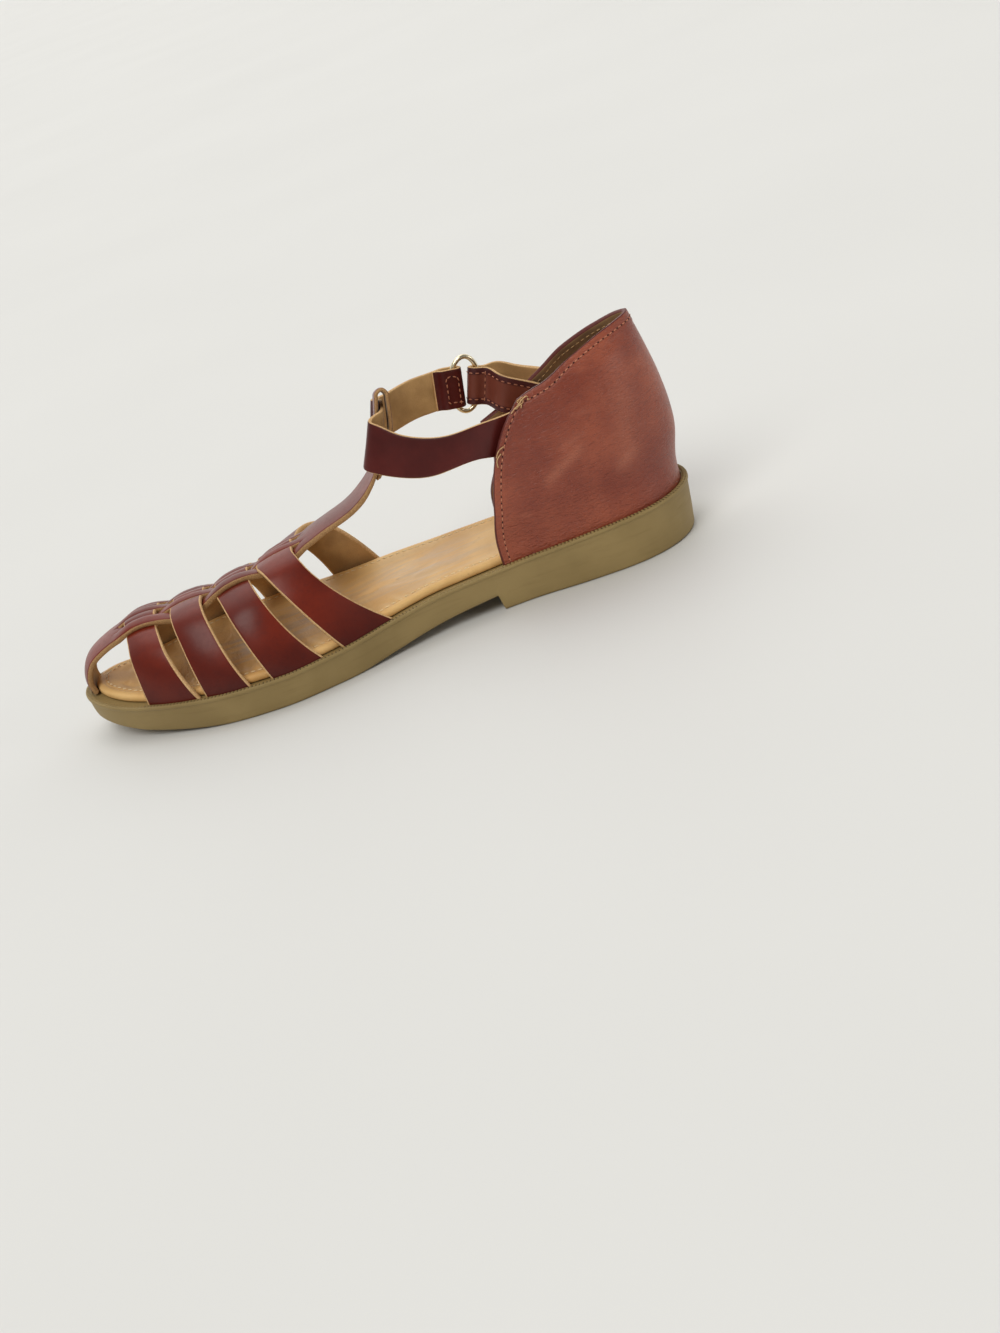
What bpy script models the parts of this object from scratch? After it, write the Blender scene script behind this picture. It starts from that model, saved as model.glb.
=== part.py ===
"""Right fisherman sandal: moulded sole, insole, woven forefoot upper with its T-strap,
heel counter, ankle strap, closure strap and ring.

Sizes below are millimetres and the meshes are made in metres. The toe points to -X, the
medial side (big toe) lies to -Y, the lateral side to +Y, and the sandal stands on z = 0.
Stations called from_heel are measured along the sole from the heel's rearmost point.
"""

import math

import bmesh
import bpy
import numpy as np

MM = 0.001

# Driving sizes
SOLE_LENGTH = 255.0
HEEL_TIP_RADIUS = 29.0
TOE_TIP_RADIUS = 25.0
RIM_WIDTH = 2.5
RIM_HEIGHT = 0.8
RIM_BAND = 1.9
SIDE_STEP = 0.5
SOLE_EDGE_BEVEL = 1.3
FOOTPRINT_INSET = 2.2
BEVEL_TOP_INSET = 1.1
RIM_CHAMFER = 0.4
HEEL_UNDERCUT = 1.6
HEEL_UNDERCUT_LENGTH = 55.0
SEAT_GAP = 0.3
STRAP_THICKNESS = 1.5
COUNTER_THICKNESS = 2.0
LASTING_INSET = 2.8
MEDIAL, LATERAL = -1, 1


class Table:
    """Rows of sizes under named columns, read as a smooth line along the first column."""

    def __init__(self, columns, *rows):
        self.columns = columns.split()
        self.rows = np.array(rows, dtype=float)

    def column(self, name):
        return self.rows[:, self.columns.index(name)]

    def read(self, name, at):
        """Cubic line that never overshoots its rows, so a flat stretch stays flat."""
        x, y = self.rows[:, 0], self.column(name)
        width = np.diff(x)
        slope = np.diff(y) / width
        tangent = np.zeros_like(y)
        tangent[0], tangent[-1] = slope[0], slope[-1]
        for i in range(1, len(x) - 1):
            if slope[i - 1] * slope[i] > 0:
                before = 2 * width[i] + width[i - 1]
                after = width[i] + 2 * width[i - 1]
                tangent[i] = (before + after) / (before / slope[i - 1] + after / slope[i])
        cell = int(np.clip(np.searchsorted(x, at) - 1, 0, len(width) - 1))
        t = float(np.clip((at - x[cell]) / width[cell], 0, 1))
        return ((1 + 2 * t) * (1 - t) ** 2 * y[cell]
                + t * (1 - t) ** 2 * width[cell] * tangent[cell]
                + t * t * (3 - 2 * t) * y[cell + 1]
                + t * t * (t - 1) * width[cell] * tangent[cell + 1])


SOLE_WIDTHS = Table(
    "from_heel medial lateral",
    (25.5, 28.9, 28.6),
    (51.0, 29.7, 30.4),
    (76.5, 27.7, 32.5),
    (102.0, 28.7, 35.3),
    (127.5, 34.8, 39.6),
    (153.0, 42.8, 43.5),
    (178.5, 46.8, 45.3),
    (204.0, 42.7, 41.5),
    (229.5, 31.6, 28.4),
)
SOLE_HEIGHTS = Table(
    "from_heel top bottom",
    (0.0, 20.2, 8.0),
    (30.0, 19.7, 7.6),
    (76.5, 17.3, 6.7),
    (115.0, 15.5, 3.6),
    (150.0, 12.9, 0.0),
    (172.0, 12.6, 0.0),
    (195.0, 12.7, 0.0),
    (230.0, 13.8, 2.6),
    (255.0, 17.4, 8.8),
)
HEEL_BREAST = {MEDIAL: 86.0, LATERAL: 72.0}
HEEL_BREAST_DRAFT = 1.2
LEAN_FADES_OVER = 70.0

CROSS_STRAPS = Table(
    "strap top_front top_rear medial_front medial_rear lateral_front lateral_rear",
    (1, 228.4, 215.4, 229.6, 207.8, 236.1, 217.5),
    (2, 208.2, 195.0, 205.2, 186.7, 208.7, 189.5),
    (3, 189.2, 175.0, 178.0, 156.2, 179.5, 158.4),
    (4, 170.8, 155.6, 148.1, 126.7, 148.3, 127.2),
)
STRIPS = 5
STRIP_RELIEF = 0.9
SLOPE_SHARE = 0.3
BRAID_OUTWARD = 1.0
BRAID_INWARD = 1.4
# Each strap leaves the vamp and arrives at the sole along these shares of its own span
STRAP_STEPS = 12
LEAVE_SWEEP, LEAVE_SWEEP_LOSS = 0.7, 0.4
ARRIVE_SWEEP, ARRIVE_SWEEP_GAIN = 1.3, 0.7
ARRIVE_OUT = 0.10
LEAVE_DROP = {MEDIAL: (1.0, 1.0, 1.0, 1.0), LATERAL: (1.0, 0.8, 0.4, 0.1)}
ARRIVE_DOWN = {MEDIAL: (1.05, 1.05, 1.05, 1.05), LATERAL: (1.05, 1.2, 1.6, 2.5)}
STRAP_FOOT_LIFT = 0.2

VAMP = Table(
    "row from_heel height half_width arch tilt",
    (0, 250.8, 17.1, 8.7, 1.7, 0.00),
    (1, 251.5, 21.2, 8.9, 1.8, 0.02),
    (2, 250.4, 25.9, 9.4, 1.9, 0.03),
    (3, 247.3, 30.5, 10.2, 2.0, 0.05),
    (4, 241.5, 34.0, 11.6, 2.0, 0.08),
    (5, 233.6, 36.8, 13.6, 2.0, 0.11),
    (6, 224.8, 38.2, 15.6, 2.0, 0.14),
    (7, 215.2, 38.4, 17.4, 2.0, 0.17),
    (8, 205.2, 38.6, 18.8, 2.0, 0.19),
    (9, 195.3, 39.0, 19.6, 2.0, 0.22),
    (10, 184.3, 40.4, 19.8, 2.0, 0.25),
    (11, 173.2, 42.1, 19.2, 2.0, 0.25),
    (12, 162.2, 44.1, 17.6, 2.0, 0.21),
    (13, 152.9, 46.6, 15.6, 1.8, 0.15),
    (14, 145.7, 48.8, 13.0, 1.4, 0.11),
    (15, 137.7, 50.8, 11.2, 1.0, 0.07),
    (16, 130.3, 52.9, 10.2, 0.7, 0.03),
    (17, 123.6, 56.3, 9.8, 0.4, 0.00),
    (18, 118.7, 60.1, 9.4, 0.1, 0.00),
    (19, 115.0, 64.2, 8.4, 0.0, 0.00),
    (20, 112.3, 69.4, 7.7, 0.0, 0.05),
    (21, 108.9, 79.6, 7.4, 0.0, 0.16),
    (22, 104.9, 91.8, 7.4, 0.0, 0.28),
)
VAMP_THICKNESS = 2.4
VAMP_FROM_HEEL = 124.0
LOOP_FROM_HEEL = 115.0
LOOP_RADIUS = 2.1
LOOP_LEAN = (0.95, 0.312)
LOOP_INNER = ((108.2, 68.1), (112.4, 62.7), (116.0, 59.0))
PINCH, PINCH_FROM, PINCH_TO = 0.5, -1.0, 2.6
LINE_POINTS = 600
TOE_ROWS, BAND_ROWS, ROWS_PER_STRAP, T_STRAP_ROWS, LOOP_ROWS = 2, 7, 4, 16, 6

COUNTER_LEVELS = Table(
    "height back medial lateral round_length",
    (17.0, 2.9, 26.0, 26.6, 44.0),
    (27.0, 0.8, 27.4, 27.6, 44.0),
    (38.0, -1.0, 28.2, 28.2, 44.0),
    (50.0, -1.7, 28.2, 27.4, 45.0),
    (62.0, -1.0, 27.4, 25.2, 45.0),
    (72.0, 0.4, 26.2, 21.4, 46.0),
    (80.0, 1.8, 23.6, 16.4, 46.0),
    (86.0, 3.0, 18.4, 12.4, 46.0),
    (92.0, 4.2, 13.0, 9.0, 46.0),
)
COUNTER_FRONT = {
    MEDIAL: Table(
        "height from_heel",
        (15.0, 80.4),
        (27.0, 79.3),
        (38.0, 77.4),
        (46.0, 75.2),
        (58.0, 70.7),
        (69.0, 63.8),
        (78.0, 54.6),
    ),
    LATERAL: Table(
        "height from_heel",
        (15.0, 76.4),
        (27.0, 75.0),
        (40.0, 70.4),
        (46.0, 69.4),
        (60.0, 70.2),
        (78.0, 66.0),
    ),
}
COLLAR = Table(
    "around medial lateral",
    (0.0, 89.8, 89.8),
    (0.15, 89.3, 89.2),
    (0.30, 87.8, 86.6),
    (0.45, 84.4, 81.0),
    (0.60, 79.6, 70.8),
    (0.80, 78.8, 64.6),
    (1.0, 77.6, 59.3),
)
COUNTER_ROUND_SHARE = 0.6
COUNTER_BLEND = 22.0
COUNTER_LASTED = 1.4

RING_CENTRE = (71.1, 28.0, 75.4)
RING_TILT = math.radians(-16.0)
RING_HALF_WIDTH = 6.0
RING_HALF_HEIGHT = 11.0
RING_WIRE_RADIUS = 1.0
RING_PLANE_SLOPE = 0.15
STRAPS_MEET_AT = (71.7, 28.0, 74.9)
ANKLE_TILT = math.radians(-11.0)
CLOSURE_TILT = math.radians(-20.0)
ANKLE_NOSE = 1.0
CLOSURE_NOSE = 2.1
FOLD_RADIUS = 2.25
STRAP_WIDTH = 16.0

ANKLE_STRAP = Table(
    "row top_heel top_across top_height low_heel low_across low_height",
    (0, 50.0, -19.4, 73.3, 52.8, -22.0, 58.0),
    (1, 57.4, -20.4, 72.7, 61.0, -22.6, 58.0),
    (2, 65.0, -23.6, 73.3, 68.7, -24.0, 59.0),
    (3, 72.7, -26.4, 74.1, 75.8, -27.2, 61.4),
    (4, 83.0, -26.2, 73.9, 84.0, -28.3, 61.8),
    (5, 94.2, -22.5, 75.8, 94.7, -26.2, 61.0),
    (6, 102.9, -18.2, 79.9, 105.5, -22.1, 63.1),
    (7, 108.0, -14.8, 83.9, 114.8, -17.2, 66.7),
    (8, 110.0, -12.0, 85.5, 118.0, -12.8, 68.8),
    (9, 107.5, -10.1, 86.5, 113.6, -10.4, 70.5),
    (10, 104.9, -8.7, 86.8, 110.2, -8.7, 71.2),
    (11, 104.3, -7.0, 86.9, 109.5, -7.0, 71.3),
    (12, 104.2, -3.5, 86.9, 109.4, -3.5, 71.3),
    (13, 104.2, 0.0, 86.9, 109.4, 0.0, 71.3),
    (14, 104.2, 3.5, 86.9, 109.4, 3.5, 71.3),
    (15, 104.3, 7.0, 86.9, 109.5, 7.0, 71.3),
    (16, 104.9, 8.7, 86.8, 110.2, 8.7, 71.2),
    (17, 107.0, 10.4, 86.6, 112.8, 10.8, 70.6),
    (18, 107.2, 12.6, 86.4, 113.2, 13.6, 69.8),
    (19, 104.6, 16.0, 85.6, 109.4, 17.8, 68.8),
    (20, 99.0, 20.4, 85.3, 102.0, 22.4, 68.8),
    (21, 91.6, 24.0, 85.6, 93.2, 25.2, 69.5),
)
FOLD_STRAIGHT = 2.0
LAYERS_PART_AHEAD = 8.4
LAYERS_MEET_AHEAD = 10.4
FOLD_END_AHEAD = 12.4
LAYER_OFFSET = 0.92
CLOSURE_PARTS_AHEAD = -8.6
ANKLE_ROWS, CLOSURE_INNER_ROWS, CLOSURE_TAB_ROWS = 62, 16, 26

CLOSURE_INNER = Table(
    "row top_heel top_across top_height low_heel low_across low_height",
    (0, 40.0, 17.8, 66.0, 46.0, 22.0, 52.0),
    (1, 49.0, 19.0, 71.4, 54.0, 22.4, 57.0),
    (2, 57.0, 21.0, 76.4, 61.5, 20.4, 61.8),
)
CLOSURE_TAB = Table(
    "row top_heel top_across top_height low_heel low_across low_height",
    (0, 57.5, 31.6, 79.0, 61.5, 32.4, 64.4),
    (1, 50.0, 30.8, 75.4, 54.0, 32.2, 60.8),
    (2, 42.5, 29.6, 71.8, 46.5, 31.6, 57.4),
    (3, 35.5, 27.9, 68.4, 39.0, 30.6, 54.2),
    (4, 29.0, 26.2, 65.2, 32.0, 29.5, 51.2),
    (5, 23.8, 24.4, 62.6, 26.4, 27.8, 48.8),
)
TAB_THICKNESS = 2.4
TAB_THICKENING = 0.3
TAB_THIN_ROWS = 6
CLOSURE_WIDTH = 15.0
TAB_CORNER_RADIUS = 4.0
TAB_CORNER_ROWS = 6

INSOLE_INSET = 5.6
INSOLE_THICKNESS = 3.0
INSOLE_DISH = 0.9
INSOLE_STATIONS = 45

LEATHER = dict(colour=(0.15, 0.022, 0.015), roughness=0.35, metallic=0.0)
COUNTER_LEATHER = dict(colour=(0.21, 0.045, 0.028), roughness=0.45, metallic=0.0)
SOLE_RUBBER = dict(colour=(0.30, 0.21, 0.09), roughness=0.6, metallic=0.0)
INSOLE_LEATHER = dict(colour=(0.52, 0.29, 0.11), roughness=0.5, metallic=0.0)
NICKEL = dict(colour=(0.75, 0.71, 0.62), roughness=0.25, metallic=1.0)


def place(from_heel, across, height):
    """A point of the sandal in millimetres of its own frame."""
    return np.array((SOLE_LENGTH / 2 - from_heel, across, height), dtype=float)


def spline(points, count):
    """Evenly spaced points on a smooth curve through the given ones (natural cubic)."""
    points = np.asarray(points, dtype=float)
    knots = np.concatenate(([0.0], np.cumsum(np.linalg.norm(np.diff(points, axis=0), axis=1))))
    last = len(points) - 1
    width = np.diff(knots)
    system = np.eye(last + 1)
    right = np.zeros_like(points)
    for i in range(1, last):
        system[i, i - 1:i + 2] = width[i - 1], 2 * (width[i - 1] + width[i]), width[i]
        ahead, behind = points[i + 1] - points[i], points[i] - points[i - 1]
        right[i] = 6 * (ahead / width[i] - behind / width[i - 1])
    bend = np.linalg.solve(system, right)
    result = []
    for at in np.linspace(0, knots[-1], count):
        i = int(np.clip(np.searchsorted(knots, at) - 1, 0, last - 1))
        a, b, h = knots[i + 1] - at, at - knots[i], width[i]
        result.append((bend[i] * a ** 3 + bend[i + 1] * b ** 3) / (6 * h)
                      + (points[i] / h - bend[i] * h / 6) * a
                      + (points[i + 1] / h - bend[i + 1] * h / 6) * b)
    return np.array(result)


def end_rounding(from_heel):
    """Share of full width left by the round heel and toe."""
    share = from_heel / SOLE_LENGTH
    return math.sqrt(max(4 * share * (1 - share), 0.0))


def fullness_table():
    """Half widths divided by the end rounding, closed by the two tip radii."""
    rows = [(0.0,) + (math.sqrt(HEEL_TIP_RADIUS * SOLE_LENGTH / 2),) * 2]
    rows += [(at, medial / end_rounding(at), lateral / end_rounding(at))
             for at, medial, lateral in SOLE_WIDTHS.rows]
    rows.append((SOLE_LENGTH,) + (math.sqrt(TOE_TIP_RADIUS * SOLE_LENGTH / 2),) * 2)
    return Table("from_heel medial lateral", *rows)


FULLNESS = fullness_table()


def outline_point(from_heel, side, inset=0.0):
    """(from_heel, across) on the sole's outline, moved inwards square to the edge."""
    name = "medial" if side == MEDIAL else "lateral"

    def edge(at):
        return np.array((at, side * FULLNESS.read(name, at) * end_rounding(at)))

    if from_heel <= 0:
        return np.array((inset, 0.0))
    if from_heel >= SOLE_LENGTH:
        return np.array((SOLE_LENGTH - inset, 0.0))
    step = min(0.05, from_heel / 2, (SOLE_LENGTH - from_heel) / 2)
    along = edge(from_heel + step) - edge(from_heel - step)
    normal = np.array((-along[1], along[0])) * side
    return edge(from_heel) - inset * normal / np.linalg.norm(normal)


def sole_top(from_heel):
    return SOLE_HEIGHTS.read("top", from_heel)


def seat(from_heel):
    """Height of the sole's bed inside its rim."""
    return sole_top(from_heel) - RIM_HEIGHT


def add_object(name, vertices, faces, material, flat_angle=35.0):
    """Make one named object from millimetre points, with outward faces and its material."""
    mesh = bpy.data.meshes.new(name)
    mesh.from_pydata([tuple(v * MM for v in vertex) for vertex in vertices], [], faces)
    work = bmesh.new()
    work.from_mesh(mesh)
    bmesh.ops.recalc_face_normals(work, faces=work.faces)
    work.to_mesh(mesh)
    work.free()
    mesh.shade_smooth()
    mesh.set_sharp_from_angle(angle=math.radians(flat_angle))
    finish = bpy.data.materials.new(name)
    finish.use_nodes = True
    shader = finish.node_tree.nodes["Principled BSDF"]
    shader.inputs["Base Color"].default_value = (*material["colour"], 1.0)
    shader.inputs["Roughness"].default_value = material["roughness"]
    shader.inputs["Metallic"].default_value = material["metallic"]
    mesh.materials.append(finish)
    thing = bpy.data.objects.new(name, mesh)
    bpy.context.scene.collection.objects.link(thing)
    return thing


class Sheet:
    """Leather as one surface of points, each with its thickness on either face."""

    def __init__(self):
        self.points, self.outer, self.inner, self.faces = [], [], [], []

    def grid(self, rows, outward, inward):
        """Add rows of points and the cells between them; returns the points' numbers."""
        numbers = []
        for i, row in enumerate(rows):
            line = []
            for j, point in enumerate(row):
                line.append(len(self.points))
                self.points.append(np.asarray(point, dtype=float))
                self.outer.append(outward[i][j])
                self.inner.append(inward[i][j])
            numbers.append(line)
        self.cells(numbers)
        return numbers

    def cells(self, numbers):
        for upper, lower in zip(numbers, numbers[1:]):
            for j in range(len(upper) - 1):
                self.faces.append((upper[j], lower[j], lower[j + 1], upper[j + 1]))

    def solid(self):
        """Vertices and faces of the closed leather: both faces and the cut edges."""
        points = np.array(self.points)
        normals = np.zeros_like(points)
        for face in self.faces:
            a, b, c, d = points[list(face)]
            normals[list(face)] += np.cross(c - a, d - b)
        normals /= np.linalg.norm(normals, axis=1)[:, None]
        outer = points + normals * np.array(self.outer)[:, None]
        inner = points - normals * np.array(self.inner)[:, None]
        count = len(points)
        faces = list(self.faces)
        faces += [tuple(v + count for v in reversed(face)) for face in self.faces]
        used = {(a, b) for face in self.faces for a, b in zip(face, face[1:] + face[:1])}
        faces += [(b, a, a + count, b + count) for a, b in used if (b, a) not in used]
        return np.vstack((outer, inner)), faces


def sole_stations(count=56):
    """Paired medial and lateral stations, closer at the tips, doubled at the heel breast."""
    stations = [SOLE_LENGTH * (1 - math.cos(math.pi * i / count)) / 2 for i in range(count + 1)]
    middle = (HEEL_BREAST[MEDIAL] + HEEL_BREAST[LATERAL]) / 2
    lean = (HEEL_BREAST[MEDIAL] - HEEL_BREAST[LATERAL]) / 2
    half_draft = HEEL_BREAST_DRAFT / 2
    stations = [s for s in stations if abs(s - middle) > 2.5 * half_draft]
    stations = sorted(stations + [middle - half_draft, middle + half_draft])
    pairs = []
    for s in stations:
        fade = (middle - s) / middle if s < middle else (s - middle) / LEAN_FADES_OVER
        share = max(0.0, 1 - fade)
        pairs.append((s + lean * share, s - lean * share, s < middle))
    return pairs


def ring_of(pairs, inset, height):
    """Closed run of points: heel tip, medial side, toe tip, lateral side back to the heel.

    height(from_heel, in_heel_block) gives each point's height.
    """
    points = []
    for medial, _, block in pairs:
        s, y = outline_point(medial, MEDIAL, inset)
        points.append(place(s, y, height(medial, block)))
    for _, lateral, block in reversed(pairs[1:-1]):
        s, y = outline_point(lateral, LATERAL, inset)
        points.append(place(s, y, height(lateral, block)))
    return points


def loft_rings(rings):
    """Closed body from stacked rings, its first and last filled by strips across."""
    count = len(rings[0])
    vertices = [point for ring in rings for point in ring]
    faces = []
    for level in range(len(rings) - 1):
        base = level * count
        for i in range(count):
            j = (i + 1) % count
            faces.append((base + i, base + j, base + count + j, base + count + i))
    for base in (0, (len(rings) - 1) * count):
        for i in range(1, count // 2 + 1):
            faces.append((base + i - 1, base + i, base + count - i, base + (count - i + 1) % count))
    # the strips at the two tips share a corner and become triangles
    return vertices, [tuple(dict.fromkeys(face)) for face in faces]


def make_outsole():
    pairs = sole_stations()

    def bottom(s, block):
        return 0.0 if block else SOLE_HEIGHTS.read("bottom", s)

    def above_bottom(s, block):
        return bottom(s, block) + SOLE_EDGE_BEVEL

    def drawn_in(ring, amount):
        """Move the heel's end of a ring towards the toe, fading out along the heel."""
        for point in ring:
            from_heel = SOLE_LENGTH / 2 - point[0]
            point[0] -= amount * max(1 - from_heel / HEEL_UNDERCUT_LENGTH, 0.0)
        return ring

    rings = [
        drawn_in(ring_of(pairs, FOOTPRINT_INSET, bottom), HEEL_UNDERCUT),
        drawn_in(ring_of(pairs, BEVEL_TOP_INSET, above_bottom), HEEL_UNDERCUT),
        ring_of(pairs, SIDE_STEP, lambda s, block: sole_top(s) - RIM_BAND),
        ring_of(pairs, 0.0, lambda s, block: sole_top(s) - RIM_BAND + SIDE_STEP),
        ring_of(pairs, 0.0, lambda s, block: sole_top(s) - RIM_CHAMFER),
        ring_of(pairs, RIM_CHAMFER, lambda s, block: sole_top(s)),
        ring_of(pairs, RIM_WIDTH, lambda s, block: sole_top(s)),
        ring_of(pairs, RIM_WIDTH, lambda s, block: seat(s)),
    ]
    return add_object("outsole", *loft_rings(rings), SOLE_RUBBER)


def make_insole():
    turns = np.linspace(0, math.pi, INSOLE_STATIONS)
    stations = [SOLE_LENGTH * (1 - math.cos(turn)) / 2 for turn in turns]
    pairs = [(s, s, False) for s in stations]

    def level(rise):
        return lambda s, block: seat(s) + SEAT_GAP + rise

    rings = [
        ring_of(pairs, INSOLE_INSET + 0.6, level(0.0)),
        ring_of(pairs, INSOLE_INSET, level(0.7)),
        ring_of(pairs, INSOLE_INSET, level(INSOLE_THICKNESS - 1.0)),
        ring_of(pairs, INSOLE_INSET + 0.8, level(INSOLE_THICKNESS)),
        ring_of(pairs, INSOLE_INSET + 5.0, level(INSOLE_THICKNESS - 0.2)),
        ring_of(pairs, INSOLE_INSET + 11.0, level(INSOLE_THICKNESS - INSOLE_DISH)),
    ]
    return add_object("insole", *loft_rings(rings), INSOLE_LEATHER)


def vamp_line():
    """Dense smooth centre line of the vamp: from_heel, height, half_width, arch, tilt."""
    return spline(VAMP.rows[:, 1:], LINE_POINTS)


def pinched(rows):
    """Draw both layers of the loop together above the ankle strap, as a pressed fold."""
    lean = np.array(LOOP_LEAN)
    foot = VAMP.rows[-1, 1:3] - lean * LOOP_RADIUS
    result = []
    for row in rows:
        off = (row[:2] - foot) @ lean
        rise = (row[:2] - foot) @ np.array((-lean[1], lean[0]))
        share = min(max((rise - PINCH_FROM) / (PINCH_TO - PINCH_FROM), 0.0), 1.0)
        draw = PINCH * share * share * (3 - 2 * share)
        result.append(np.array((*(row[:2] - off * draw * lean), *row[2:])))
    return result


def vamp_rows(line):
    """Rows across the vamp at the toe band, the strap crossings, the T-strap and its loop.

    Returns the rows and, for each cross strap, the numbers of its first and last row.
    """
    stops, spans = [], []
    first = CROSS_STRAPS.column("top_front")[0]
    last = CROSS_STRAPS.column("top_rear")[-1]
    heel_of = line[:, 0]
    straight = int(np.argmax(heel_of))
    stops += [line[int(i)] for i in np.linspace(0, straight, TOE_ROWS, endpoint=False)]

    def at_station(s):
        part = line[straight:]
        return np.array([np.interp(-s, -part[:, 0], part[:, k]) for k in range(5)])

    stops += [at_station(s) for s in np.linspace(heel_of[straight], first, BAND_ROWS, endpoint=False)]
    for k, (_, front, rear, *_) in enumerate(CROSS_STRAPS.rows):
        start = len(stops)
        stops += [at_station(s) for s in np.linspace(front, rear, ROWS_PER_STRAP)]
        spans.append((start, len(stops) - 1))
        if k < len(CROSS_STRAPS.rows) - 1:
            following = CROSS_STRAPS.rows[k + 1][1]
            stops += [at_station((rear + following) / 2)]
    end = heel_of[-1]
    stops += [at_station(s) for s in np.linspace(last, end, T_STRAP_ROWS + 1)[1:]]
    # over the ankle strap and down inside it
    lean = np.array(LOOP_LEAN)
    top = stops[-1][:2] - lean * LOOP_RADIUS
    for turn in np.linspace(0, math.pi, LOOP_ROWS + 1)[1:]:
        upward = np.array((-lean[1], lean[0]))
        point = top + LOOP_RADIUS * (lean * math.cos(turn) + upward * math.sin(turn))
        stops.append(np.array((*point, *stops[-1][2:])))
    inner = np.vstack((stops[-1][:2], LOOP_INNER))
    for begin, end in zip(inner, inner[1:]):
        for share in (0.5, 1.0):
            stops.append(np.array((*(begin + (end - begin) * share), *stops[-1][2:])))
    return pinched(stops), spans


def strip_pattern(row, column, spans):
    """Relief of the weave at a grid point: a pillow where one layer lies on the other."""
    for k, (start, stop) in enumerate(spans):
        if start <= row <= stop:
            strip, inside = divmod(column, 3)
            along_middle = start < row < stop
            across_middle = inside in (1, 2)
            strip_on_top = (min(strip, STRIPS - 1) + k) % 2 == 0
            if strip_on_top:
                return STRIP_RELIEF * (1.0 if along_middle else SLOPE_SHARE) * across_middle
            return STRIP_RELIEF * (1.0 if across_middle else SLOPE_SHARE) * along_middle
    return 0.0


def strap_run(top, base, side, slope, share, strap):
    """Centre line points of a cross strap from the vamp's edge down to the sole."""
    span = np.linalg.norm(base - top)
    sweep = base[0] - top[0]
    leave = np.array((sweep * (LEAVE_SWEEP - LEAVE_SWEEP_LOSS * share),
                      side * math.cos(slope) * span,
                      -math.sin(slope) * span * LEAVE_DROP[side][strap]))
    arrive = np.array((sweep * (ARRIVE_SWEEP + ARRIVE_SWEEP_GAIN * share),
                       side * ARRIVE_OUT * span,
                       -ARRIVE_DOWN[side][strap] * span))
    run = []
    for step in range(1, STRAP_STEPS + 1):
        t = step / STRAP_STEPS
        run.append((1 + 2 * t) * (1 - t) ** 2 * top + t * (1 - t) ** 2 * leave
                   + t * t * (3 - 2 * t) * base + t * t * (t - 1) * arrive)
    return run


def make_forefoot_upper():
    """Toe band, woven strips, T-strap and loop as one sheet, with four straps grown from it."""
    rows, spans = vamp_rows(vamp_line())
    columns = 3 * STRIPS + 1
    centres = np.array([(r[0], r[1]) for r in rows])
    tangents = np.gradient(centres, axis=0)
    tangents /= np.linalg.norm(tangents, axis=1)[:, None]
    braid_first, braid_last = spans[0][0], spans[-1][1]
    grid, outward, inward = [], [], []
    for i, (s, height, half_width, arch, tilt) in enumerate(rows):
        rise = np.array((-LOOP_LEAN[1], LOOP_LEAN[0])) if i > braid_last else np.array((0.0, 1.0))
        normal = np.array((tangents[i][1], -tangents[i][0]))
        line = []
        for j in range(columns):
            w = 2 * j / (columns - 1) - 1
            across = w * half_width
            shift = -arch * w * w * normal - tilt * across * rise
            line.append(place(s + shift[0], across, height + shift[1]))
        grid.append(line)
        if braid_first <= i <= braid_last:
            outward.append([BRAID_OUTWARD + strip_pattern(i, j, spans) for j in range(columns)])
            inward.append([BRAID_INWARD] * columns)
        else:
            layers = np.interp(s, (LOOP_FROM_HEEL, VAMP_FROM_HEEL), (STRAP_THICKNESS, VAMP_THICKNESS))
            outward.append([layers / 2] * columns)
            inward.append([layers / 2] * columns)
    sheet = Sheet()
    numbers = sheet.grid(grid, outward, inward)
    for k, strap in enumerate(CROSS_STRAPS.rows):
        start, stop = spans[k]
        sides = ((MEDIAL, 0, *strap[3:5]), (LATERAL, columns - 1, *strap[5:7]))
        for side, column, front, rear in sides:
            lines = []
            for i in range(start, stop + 1):
                share = (i - start) / (stop - start)
                edge = numbers[i][column]
                base_heel = front + (rear - front) * share
                s, y = outline_point(base_heel, side, LASTING_INSET + STRAP_THICKNESS / 2)
                base = place(s, y, seat(base_heel) + SEAT_GAP + STRAP_FOOT_LIFT)
                half_width, arch, tilt = rows[i][2:]
                slope = math.atan(2 * arch / half_width + side * tilt)
                run = [edge]
                for point in strap_run(sheet.points[edge], base, side, slope, share, k):
                    run.append(len(sheet.points))
                    sheet.points.append(point)
                    sheet.outer.append(STRAP_THICKNESS / 2)
                    sheet.inner.append(STRAP_THICKNESS / 2)
                lines.append(run)
            if side == LATERAL:
                lines = lines[::-1]
            sheet.cells([list(step) for step in zip(*lines)])
    return add_object("forefoot_upper", *sheet.solid(), LEATHER)


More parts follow.
